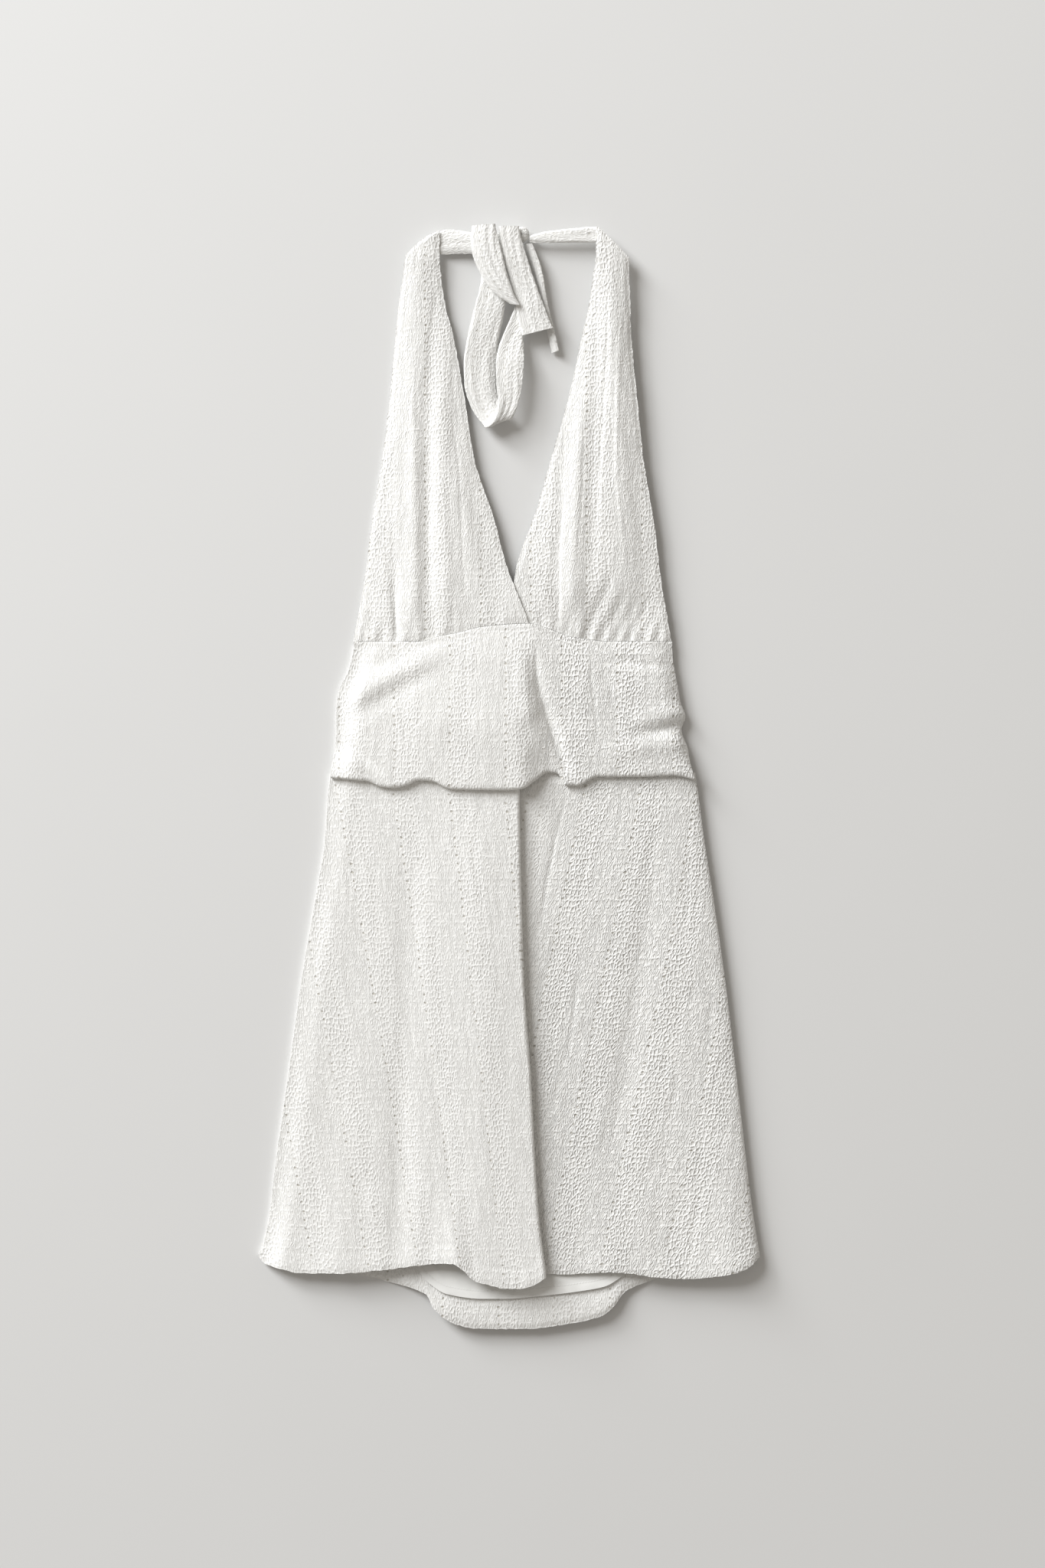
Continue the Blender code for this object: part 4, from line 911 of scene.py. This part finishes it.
def left_grain(x, y):
    """Place across the cloth left of the knife fold, whose grain leans towards the fold."""
    from_fold = at_y(y, SKIRT, "fold_x") - x
    lean = blend(LEFT_LEAN.edge, LEFT_LEAN.inward, ease(from_fold / LEFT_LEAN.reach))
    return x + lean * (y - GRAIN_Y) + LEFT_LEAN.shift


def right_grain(x, y):
    """Place across the cloth right of the knife fold, whose grain leans towards the fold."""
    from_side = at_y(y, SKIRT, "right") - x
    lean = blend(RIGHT_LEAN.edge, RIGHT_LEAN.inward, ease(from_side / RIGHT_LEAN.reach))
    return x - lean * (y - GRAIN_Y) + RIGHT_LEAN.shift


def make_skirt_front(
        rows=150, left_columns=126, turn_steps=9, run_steps=6, right_columns=146, seed=51):
    """The flared front panel: a left run, the knife fold and a right run."""
    hem_y = column(SKIRT, "y")[-1]
    lines, places, levels, edges = [], [], [], []
    for t in np.linspace(0.0, 1.0, rows):
        v = 1.0 - (1.0 - t) ** SKIRT_ROW_CROWDING
        y_row = blend(WAIST_Y, hem_y, v)
        left, right = at_y(y_row, SKIRT, "left"), at_y(y_row, SKIRT, "right")
        fold_x, overlap = at_y(y_row, SKIRT, "fold_x"), at_y(y_row, SKIRT, "overlap")
        turn_x = fold_x - PLEAT_RADIUS
        sideways, down = pleat_path(overlap, turn_steps, run_steps)
        left_share = np.linspace(0.0, 1.0, left_columns) ** LEFT_COLUMN_CROWDING
        right_share = np.linspace(0.0, 1.0, right_columns + 1)[1:]
        left_x = blend(left, turn_x, left_share)
        right_x = blend(turn_x + sideways[-1], right, right_share)
        left_hem = at_x(left_x, FRONT_HEM_LEFT, "y")
        right_hem = at_x(right_x, FRONT_HEM_RIGHT, "y")
        fold_hem = np.linspace(left_hem[-1], right_hem[0], len(sideways) + 2)[1:-1]
        level = at_y(y_row, SKIRT, "fold_z") + at_y(y_row, SKIRT, "lift")
        top = level + pleat_drop(overlap)
        x = np.concatenate([left_x, turn_x + sideways, right_x])
        z = np.concatenate([
            skirt_left_height(left_x, y_row),
            top - down * (top - level) / down[-1],
            skirt_right_height(right_x, y_row),
        ])
        hem = np.concatenate([left_hem, fold_hem, right_hem])
        y = y_row + v**HEM_POWER * (hem - hem_y)
        left_place = left_grain(left_x, y[:left_columns])
        fold_place = left_place[-1] + np.arange(1, len(sideways) + 1) * (overlap / len(sideways))
        right_place = right_grain(right_x, y[-right_columns:])
        place = np.concatenate([left_place, fold_place, right_place])
        on_top = np.ones(len(x))
        on_top[left_columns:-right_columns] = 0.0
        from_side = np.minimum(x - left, right - x)
        lines.append(grid_of(x, y, z))
        places.append(pair_of(place, y))
        levels.append(on_top * ease(from_side / SKIRT_SIDE_CALM))
        edges.append(y - hem)
    middle, grain = np.stack(lines), np.stack(places)
    on_top, above_hem = np.stack(levels), np.stack(edges)
    x, y = middle[..., 0], middle[..., 1]
    relief = crinkle(grain[..., 0], y, seed) * blend(HIDDEN_CRINKLE, 1.0, on_top)
    fold_x = at_y(y, SKIRT, "fold_x")
    to_fold = np.abs(x - fold_x)
    beside_fold = ease((to_fold - FOLD_CREASE_GAP) / FOLD_CREASE_FADE)
    relief = relief + creases(x, y, SKIRT_CREASES) * on_top * beside_fold
    relief = relief + hem_relief(above_hem, x, seed + 5)
    ridge_y = np.where(x > 0, WAIST_RIDGE_RIGHT_Y, WAIST_RIDGE_LEFT_Y)
    relief = relief + WAIST_RIDGE * bell(y - ridge_y, WAIST_RIDGE_WIDTH) * on_top
    wander = ragged(above_hem, x, seed + 6)
    middle = middle + np.stack([0 * wander, wander, 0 * wander], axis=-1)
    thickness = thin_edge(above_hem, CLOTH)
    return shell("cloth_skirt_front", middle, relief, thickness, grain)


def back_lift(x, y):
    """How far the back of the skirt curls up from the surface at its drooping hem."""
    window = ease((x - HEM_LIFT_LEFT) / HEM_LIFT_FADE) * ease((HEM_LIFT_RIGHT - x) / HEM_LIFT_FADE)
    return HEM_LIFT * window * ease((HEM_LIFT_TOP - y) / HEM_LIFT_LENGTH)


def panel_points(hem, top_y, inset, rows, columns):
    """Flat points of a flared panel under the skirt front, closer together near its hem."""
    hem_y = column(SKIRT, "y")[-1]
    v = (1.0 - np.linspace(1.0, 0.0, rows) ** HEM_CROWDING)[:, None]
    u = np.linspace(-1.0, 1.0, columns)[None, :]
    u = 0.5 + 0.5 * blend(u, u**3, MIDDLE_CROWDING)
    y_row = blend(top_y, hem_y, v)
    left = at_y(y_row, SKIRT, "left") + inset
    right = at_y(y_row, SKIRT, "right") - inset
    x = blend(left, right, u)
    hem_line = at_x(x, hem, "y")
    start = (top_y - y_row) / (top_y - hem_y)
    y = y_row + start**BACK_HEM_POWER * (hem_line - hem_y)
    return x, y, y - hem_line


def make_skirt_back(rows=90, columns=170, seed=71):
    """The flared back panel, flat on the surface up to its curled hem."""
    x, y, above_hem = panel_points(BACK_HEM, WAIST_Y, 0.0, rows, columns)
    lift = back_lift(x, y)
    shows = ease(lift / BACK_SHOWS_LIFT)
    relief = (crinkle(x, y, seed) + hem_relief(above_hem, x, seed + 5)) * shows
    y = y + ragged(above_hem, x, seed + 6)
    thickness = thin_edge(above_hem, CLOTH)
    middle = grid_of(x, y, thickness / 2 + lift + side_curl(at_y(y, SKIRT, "right") - x))
    return shell("cloth_skirt_back", middle, relief, thickness, pair_of(x + BACK_GRAIN_X, y))


def make_lining(rows=60, columns=150, seed=81):
    """The lining's back panel, which lies on the skirt back."""
    x, y, above_hem = panel_points(LINING_HEM, WAIST_Y - LINING_INSET, LINING_INSET, rows, columns)
    height = CLOTH + LINING_GAP + LINING_CLOTH / 2 + LINING_RISE * back_lift(x, y)
    height = height + side_curl(at_y(y, SKIRT, "right") - x)
    groove = LINING_STITCH_DEPTH * bell(above_hem - LINING_STITCH_AT, LINING_STITCH_WIDTH)
    relief = ripple(x, y, LINING_WAVE, seed) - groove
    middle, grain = grid_of(x, y, height), pair_of(x, above_hem)
    return shell("cloth_skirt_lining", middle, relief, LINING_CLOTH, grain)


def make_tie(name, stations, seed, steps=12, columns=24):
    """One stretch of a flat tube tie. A stretch that runs to the right lists its lower edge first."""
    position = np.linspace(0.0, len(stations) - 1, (len(stations) - 1) * steps + 1)
    knots = range(len(stations))
    ends = []
    for names in (("x1", "y1", "z1"), ("x2", "y2", "z2")):
        ends.append(np.stack([through(position, knots, column(stations, n)) for n in names], axis=-1))
    first, second = ends
    across = np.linspace(0.0, 1.0, columns)
    across = 0.5 - 0.5 * np.cos(np.pi * blend(across, 0.5, TIE_EDGE_CROWDING))
    across = (across - across[0]) / (across[-1] - across[0])
    middle = blend(first[:, None, :], second[:, None, :], across[None, :, None])
    steps_along = np.linalg.norm(np.diff(middle.mean(axis=1), axis=0), axis=-1)
    along = np.concatenate([[0.0], np.cumsum(steps_along)])[:, None]
    width = np.linalg.norm(second - first, axis=-1)[:, None]
    u = across[None, :] * width
    from_edge = np.minimum(u, width - u)
    rounding = 1.0 - np.clip(from_edge / TIE_EDGE_ROUND, 0, 1)
    thickness = TIE_CLOTH * (1.0 - TIE_EDGE_THINNING * rounding**2)
    pleats = ripple(u, along, TIE_PLEAT, seed + 6) + TIE_CROWN * np.sin(np.pi * across)
    relief = crinkle(u * TIE_GRAIN_SCALE, along, seed) + pleats
    relief = relief * ease(from_edge / TIE_EDGE_CALM + TIE_EDGE_CRINKLE)
    rag = TIE_RAG * noise(along / TIE_RAG_LENGTH, LATTICE_MIDDLE, seed + 4)
    outward = (second - first) / width
    push = rag * (1.0 - across) ** TIE_RAG_POWER - rag[::-1] * across**TIE_RAG_POWER
    middle = middle + outward[:, None, :] * push[..., None]
    cut = (max(float(width.mean()), TIE_LEAST_WIDTH) * MM, float(along[-1, 0]) * MM)
    return shell(name, middle, relief, thickness, pair_of(u + TIE_GRAIN_X, along)), cut


def make_knot(name="cloth_tie_knot", turns=64, rings=40, seed=91):
    """The small tight knot that the straps go into, wound round with its cloth."""
    theta = np.linspace(0.0, 2 * np.pi, turns + 1)[:-1][None, :]
    phi = np.linspace(KNOT_POLE, np.pi - KNOT_POLE, rings)[:, None]
    winding = KNOT_WINDING * np.abs(np.sin(KNOT_TURNS[0] * theta + KNOT_TURNS[1] * phi))
    radius = KNOT_CORE + winding + ripple(theta, phi, KNOT_ROUGHNESS, seed)
    outward = np.sin(phi)
    direction = [outward * np.cos(theta), outward * np.sin(theta), np.cos(phi) + 0 * theta]
    points = [c + r * radius * d for c, r, d in zip(KNOT_CENTRE, KNOT_RADII, direction)]
    grid = np.stack(points, axis=-1).reshape(-1, 3)
    grain = pair_of(theta * KNOT_GRAIN[0], phi * KNOT_GRAIN[1]).reshape(-1, 2)
    index = np.arange(turns * rings).reshape(rings, turns)
    onward = np.roll(index, -1, axis=1)
    side = np.stack([index[:-1], index[1:], onward[1:], onward[:-1]], axis=-1).reshape(-1, 4)
    top, bottom = index[0, ::-1].tolist(), index[-1].tolist()
    return make_mesh(name, grid * MM, side.tolist() + [top, bottom], grain)


class Graph:
    """Adds shader nodes to one material."""

    def __init__(self, material):
        self.tree = material.node_tree

    def node(self, kind, **settings):
        """A new node with its settings."""
        made = self.tree.nodes.new(kind)
        for name, value in settings.items():
            setattr(made, name, value)
        return made

    def feed(self, socket, value):
        """Link a socket to another, or set it to a plain value."""
        if isinstance(value, bpy.types.NodeSocket):
            self.tree.links.new(value, socket)
        else:
            socket.default_value = value

    def math(self, operation, *values):
        """The result of one math node."""
        made = self.node("ShaderNodeMath", operation=operation)
        for socket, value in zip(made.inputs, values):
            self.feed(socket, value)
        return made.outputs[0]

    def grain(self):
        """Places across and along the cloth's grain, in millimetres."""
        split = self.node("ShaderNodeSeparateXYZ")
        self.feed(split.inputs[0], self.node("ShaderNodeUVMap", uv_map="grain").outputs[0])
        return split.outputs[0], split.outputs[1]

    def point(self, across, along, seed=0.0):
        """A place in a pattern."""
        made = self.node("ShaderNodeCombineXYZ")
        for socket, value in zip(made.inputs, (across, along, seed)):
            self.feed(socket, value)
        return made.outputs[0]

    def noise(self, u, v, layer, seed, detail=1.0):
        """Noise from 0 to 1 whose bumps have a layer's size."""
        across, along = self.math("DIVIDE", u, layer.across), self.math("DIVIDE", v, layer.along)
        made = self.node("ShaderNodeTexNoise")
        self.feed(made.inputs["Vector"], self.point(across, along, seed))
        made.inputs["Scale"].default_value = 1.0
        made.inputs["Detail"].default_value = detail
        made.inputs["Roughness"].default_value = 0.5
        return made.outputs[0]

    def worms(self, u, v, seed):
        """Curling raised ridges, 1 on top, that run with the grain and join here and there."""
        swell = self.noise(u, v, WORMS, seed, detail=0.5)
        from_middle = self.math("ABSOLUTE", self.math("SUBTRACT", swell, 0.5))
        return self.math("SUBTRACT", 1.0, self.step(from_middle, *WORM_STEP))

    def netting(self, u, v, seed):
        """Thin raised ridges, 1 on top, between small cells."""
        across = self.math("ADD", self.math("DIVIDE", u, NETTING.across), NET_SEED_STEP * seed)
        along = self.math("DIVIDE", v, NETTING.along)
        cells = self.node(
            "ShaderNodeTexVoronoi", feature="DISTANCE_TO_EDGE", voronoi_dimensions="2D")
        self.feed(cells.inputs["Vector"], self.point(across, along))
        cells.inputs["Scale"].default_value = 1.0
        cells.inputs["Randomness"].default_value = NET_RANDOMNESS
        return self.math("SUBTRACT", 1.0, self.step(cells.outputs["Distance"], *NET_STEP))

    def step(self, value, low, high):
        """A soft step from 0 at low to 1 at high."""
        made = self.node("ShaderNodeMapRange", interpolation_type="SMOOTHSTEP")
        self.feed(made.inputs["Value"], value)
        made.inputs["From Min"].default_value = low
        made.inputs["From Max"].default_value = high
        return made.outputs[0]

    def centred(self, value, repeat, offset=0.0):
        """Signed distance to the nearest of a row of marks, one to each repeat."""
        shifted = self.math("ADD", value, repeat / 2 - offset)
        return self.math("SUBTRACT", self.math("FLOORED_MODULO", shifted, repeat), repeat / 2)

    def mix(self, share, first, second):
        """A colour between two others."""
        made = self.node("ShaderNodeMix", data_type="RGBA")
        self.feed(made.inputs[0], share)
        self.feed(made.inputs[6], (*first, 1.0) if isinstance(first, tuple) else first)
        self.feed(made.inputs[7], (*second, 1.0) if isinstance(second, tuple) else second)
        return made.outputs[2]

    def total(self, *terms):
        """The sum of pairs of a value and its weight."""
        result = 0.0
        for value, weight in terms:
            result = self.math("MULTIPLY_ADD", value, weight, result)
        return result

    def eyelets(self, u, v, offset, radius):
        """Share of a small round hole, one column to each repeat."""
        across = self.centred(u, PATTERN_REPEAT, offset)
        along = self.centred(v, EYELET_PITCH)
        squares = [(self.math("POWER", value, 2.0), 1.0) for value in (along, across)]
        distance = self.math("SQRT", self.total(*squares))
        inner, outer = (radius * share for share in EYELET_EDGE)
        return self.math("SUBTRACT", 1.0, self.step(distance, inner, outer))

    def bump(self, shader, height, distance):
        """Raise the surface by a pattern of heights, each of which counts for distance millimetres."""
        made = self.node("ShaderNodeBump")
        made.inputs["Strength"].default_value = 1.0
        made.inputs["Distance"].default_value = distance * MM
        self.feed(made.inputs["Height"], height)
        self.feed(shader.inputs["Normal"], made.outputs[0])


def new_material(name, roughness, sheen):
    """A matt cloth finish with no detail yet."""
    material = bpy.data.materials.new(name)
    material.use_nodes = True
    shader = material.node_tree.nodes["Principled BSDF"]
    shader.inputs["Roughness"].default_value = roughness
    shader.inputs["Specular IOR Level"].default_value = CLOTH_GLOSS
    shader.inputs["Sheen Weight"].default_value = sheen
    shader.inputs["Sheen Roughness"].default_value = SHEEN_ROUGHNESS
    return material, shader


def eyelet_cloth(name, strength, seed, eyelets=1.0, bolder=0.0):
    """Crinkled off-white cotton: bands of raised netting, bands of curling lines, and eyelets.

    strength is the height of its relief in millimetres, eyelets is how much its eyelets show, and
    bolder is how much stronger the relief is in the right half of a piece.
    """
    material, shader = new_material(name, CLOTH_ROUGHNESS, CLOTH_SHEEN)
    graph = Graph(material)
    u, v = graph.grain()
    bend = graph.total(
        (graph.noise(u, v, BEND, seed), BEND.height),
        (graph.noise(u, v, BROAD_BEND, seed + 1), BROAD_BEND.height),
    )
    bent = graph.math("ADD", u, bend)
    slid = graph.math("MULTIPLY_ADD", graph.noise(u, v, SLIDE, seed + 2), SLIDE.height, v)
    worms = graph.worms(bent, slid, seed + 3)
    net = graph.netting(bent, slid, seed + 4)
    yarn = graph.noise(u, v, YARN, seed + 5, detail=2.0)
    place = graph.math("FLOORED_MODULO", graph.math("ADD", u, NET_BAND_X), PATTERN_REPEAT)
    rise = graph.step(place, *NET_BAND_RISE)
    fall = graph.math("SUBTRACT", 1.0, graph.step(place, *NET_BAND_FALL))
    in_band = graph.math("MULTIPLY", rise, fall)
    patch = graph.noise(u, v, PATCH, seed + 6)
    patch = graph.math("MULTIPLY_ADD", patch, PATCH.height, NET_PATCH_LEAST)
    netted = graph.math("MULTIPLY_ADD", in_band, 1.0 - NET_OUTSIDE, NET_OUTSIDE)
    netted = graph.math("MULTIPLY", netted, patch)
    wormed = graph.math("MULTIPLY_ADD", in_band, WORMS_LOST_IN_BAND, WORMS_OUTSIDE)
    wiggle = graph.noise(u, v, WIGGLE, seed + 7)
    wiggle = graph.math("MULTIPLY_ADD", wiggle, WIGGLE.height, -WIGGLE.height / 2)
    shifted = graph.math("ADD", u, wiggle)
    shown = graph.step(graph.noise(u, v, SHOWN, seed + 8), *SHOWN_STEP)
    half_way = graph.math("ADD", slid, EYELET_PITCH / 2)
    first = graph.eyelets(shifted, slid, 0.0, EYELET_RADIUS)
    second = graph.eyelets(
        shifted, half_way, SECOND_COLUMN, EYELET_RADIUS * SECOND_RADIUS_SHARE)
    both = graph.total((first, eyelets), (second, SECOND_SHARE * eyelets))
    shown = graph.math("MULTIPLY_ADD", shown, SHOWN.height, SHOWN_LEAST)
    holes = graph.math("MULTIPLY", both, shown)
    raised = graph.total(
        (graph.math("MULTIPLY", worms, wormed), WORMS.height),
        (graph.math("MULTIPLY", net, netted), NETTING.height),
        (yarn, YARN.height),
    )
    boldness = graph.math("MULTIPLY_ADD", graph.step(u, *BOLD_STEP), bolder, 1.0)
    height = graph.total((raised, 1.0), (holes, EYELET_DEPTH))
    graph.bump(shader, graph.math("MULTIPLY", height, boldness), strength)
    # Painted shade: the colour darkens in the grooves between the raised crinkles
    painted_shade_colour = graph.mix(graph.step(raised, *GROOVE_SHADE_STEP), CLOTH_PAINTED_GROOVE_SHADE, CLOTH_COLOUR)
    # Painted shade in the eyelet holes
    painted_shade_colour = graph.mix(graph.math("MULTIPLY", holes, EYELET_SHADE_SHARE), painted_shade_colour, EYELET_PAINTED_SHADE)
    graph.feed(shader.inputs["Base Color"], painted_shade_colour)
    return material


def lining_cloth(name):
    """Smooth white cloth with a row of hem stitching."""
    material, shader = new_material(name, LINING_ROUGHNESS, LINING_SHEEN)
    graph = Graph(material)
    u, v = graph.grain()
    weave = graph.noise(u, v, WEAVE, LINING_SEED)
    from_stitch = graph.math("ABSOLUTE", graph.math("SUBTRACT", v, LINING_STITCH_AT))
    stitch = graph.math("SUBTRACT", 1.0, graph.step(from_stitch, *THREAD_STEP))
    dash = graph.step(graph.math("ABSOLUTE", graph.centred(u, DASH_REPEAT)), *DASH_STEP)
    thread = graph.math("MULTIPLY", stitch, dash)
    graph.bump(shader, graph.total((weave, WEAVE.height), (thread, 1.0)), LINING_BUMP)
    worn = graph.step(graph.noise(u, v, WEAR, LINING_SEED + 1), *WEAR_STEP)
    graph.feed(shader.inputs["Base Color"], graph.mix(worn, LINING_COLOUR, LINING_SHADE))
    return material


def floor_finish():
    """A plain pale floor with the faintest mottling."""
    material, shader = new_material("floor_paint", FLOOR_ROUGHNESS, 0.0)
    graph = Graph(material)
    place = graph.node("ShaderNodeTexCoord").outputs["Object"]
    mottle = graph.node("ShaderNodeTexNoise")
    graph.feed(mottle.inputs["Vector"], place)
    mottle.inputs["Scale"].default_value = FLOOR_MOTTLE_SCALE
    darker = tuple(FLOOR_MOTTLE_SHADE * value for value in FLOOR_COLOUR)
    graph.feed(shader.inputs["Base Color"], graph.mix(mottle.outputs[0], FLOOR_COLOUR, darker))
    return material


def make_floor():
    """The floor under the dress."""
    half = FLOOR_SIZE / 2
    data = bpy.data.meshes.new("floor")
    corners = [(-half, -half, 0), (half, -half, 0), (half, half, 0), (-half, half, 0)]
    data.from_pydata(corners, [], [(0, 1, 2, 3)])
    floor = bpy.data.objects.new("floor", data)
    bpy.context.scene.collection.objects.link(floor)
    data.materials.append(floor_finish())


def make_camera():
    """The photograph's camera, straight above."""
    data = bpy.data.cameras.new("camera")
    data.lens = CAMERA_LENS
    data.sensor_width = CAMERA_SENSOR
    camera = bpy.data.objects.new("camera", data)
    camera.location = [value * MM for value in CAMERA_PLACE]
    bpy.context.scene.collection.objects.link(camera)
    bpy.context.scene.camera = camera


def make_light(name, place, size, power):
    """A round soft light that faces the dress."""
    data = bpy.data.lights.new(name, "AREA")
    data.shape = "DISK"
    data.size = size
    data.energy = power
    data.color = LIGHT_COLOUR
    light = bpy.data.objects.new(name, data)
    light.location = place
    light.rotation_mode = "QUATERNION"
    aim = -light.location
    light.rotation_quaternion = aim.to_track_quat("-Z", "Y")
    bpy.context.scene.collection.objects.link(light)


def make_surround():
    """A pale surround that fills the shadows."""
    world = bpy.data.worlds.new("surround")
    world.use_nodes = True
    shade = world.node_tree.nodes["Background"]
    shade.inputs["Color"].default_value = (*FILL_COLOUR, 1.0)
    shade.inputs["Strength"].default_value = FILL_STRENGTH
    bpy.context.scene.world = world
    bpy.context.scene.view_settings.view_transform = "Standard"


def finish_piece(piece, node, material):
    """Give a piece its material and say what it is to the frame."""
    piece.data.materials.append(material)
    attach(piece, "root")
    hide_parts(node)


make_camera()
for light in LIGHTS:
    make_light(*light)
make_surround()
make_floor()

finish_piece(
    make_cup("cloth_cup_left", CUP_LEFT, CUP_LEFT_FOLDS, CUP_LEFT_CREASES, CUP_LEFT_GATHERS,
             lap=1.0, shift=75.0, seed=11),
    "cup_left", eyelet_cloth("cup_left_finish", strength=0.30, seed=1.0),
)
finish_piece(
    make_cup("cloth_cup_right", CUP_RIGHT, CUP_RIGHT_FOLDS, CUP_RIGHT_CREASES, CUP_RIGHT_GATHERS,
             lap=-1.0, shift=-70.0, seed=21),
    "cup_right", eyelet_cloth("cup_right_finish", strength=0.38, seed=2.0),
)
finish_piece(
    make_midriff_front(),
    "midriff_front",
    eyelet_cloth("midriff_finish", strength=0.28, seed=3.0, bolder=1.2),
)
finish_piece(
    make_midriff_back(),
    "midriff_back", eyelet_cloth("midriff_back_finish", strength=0.2, seed=4.0),
)
finish_piece(
    make_skirt_front(),
    "skirt_front",
    eyelet_cloth("skirt_front_finish", strength=0.28, seed=5.0, bolder=1.2),
)
finish_piece(
    make_skirt_back(),
    "skirt_back", eyelet_cloth("skirt_back_finish", strength=0.28, seed=6.0),
)
finish_piece(
    make_lining(),
    "skirt_lining", lining_cloth("lining_finish"),
)

TIES = (
    ("neck_strap_left", NECK_STRAP_LEFT),
    ("neck_strap_right", NECK_STRAP_RIGHT),
    ("bow_loop", BOW_LOOP),
    ("tie_band_over", BAND_OVER),
    ("tie_band_under", BAND_UNDER),
    ("tie_band_behind", BAND_BEHIND),
)
for number, (node, stations) in enumerate(TIES):
    tie, cut = make_tie("cloth_" + node, stations, seed=100 + 10 * number)
    finish = eyelet_cloth(node + "_finish", strength=0.24, seed=10.0 + number, eyelets=0.6)
    finish_piece(tie, node, finish)
finish_piece(
    make_knot(),
    "tie_knot", eyelet_cloth("knot_finish", strength=0.25, seed=20.0, eyelets=0.0),
)
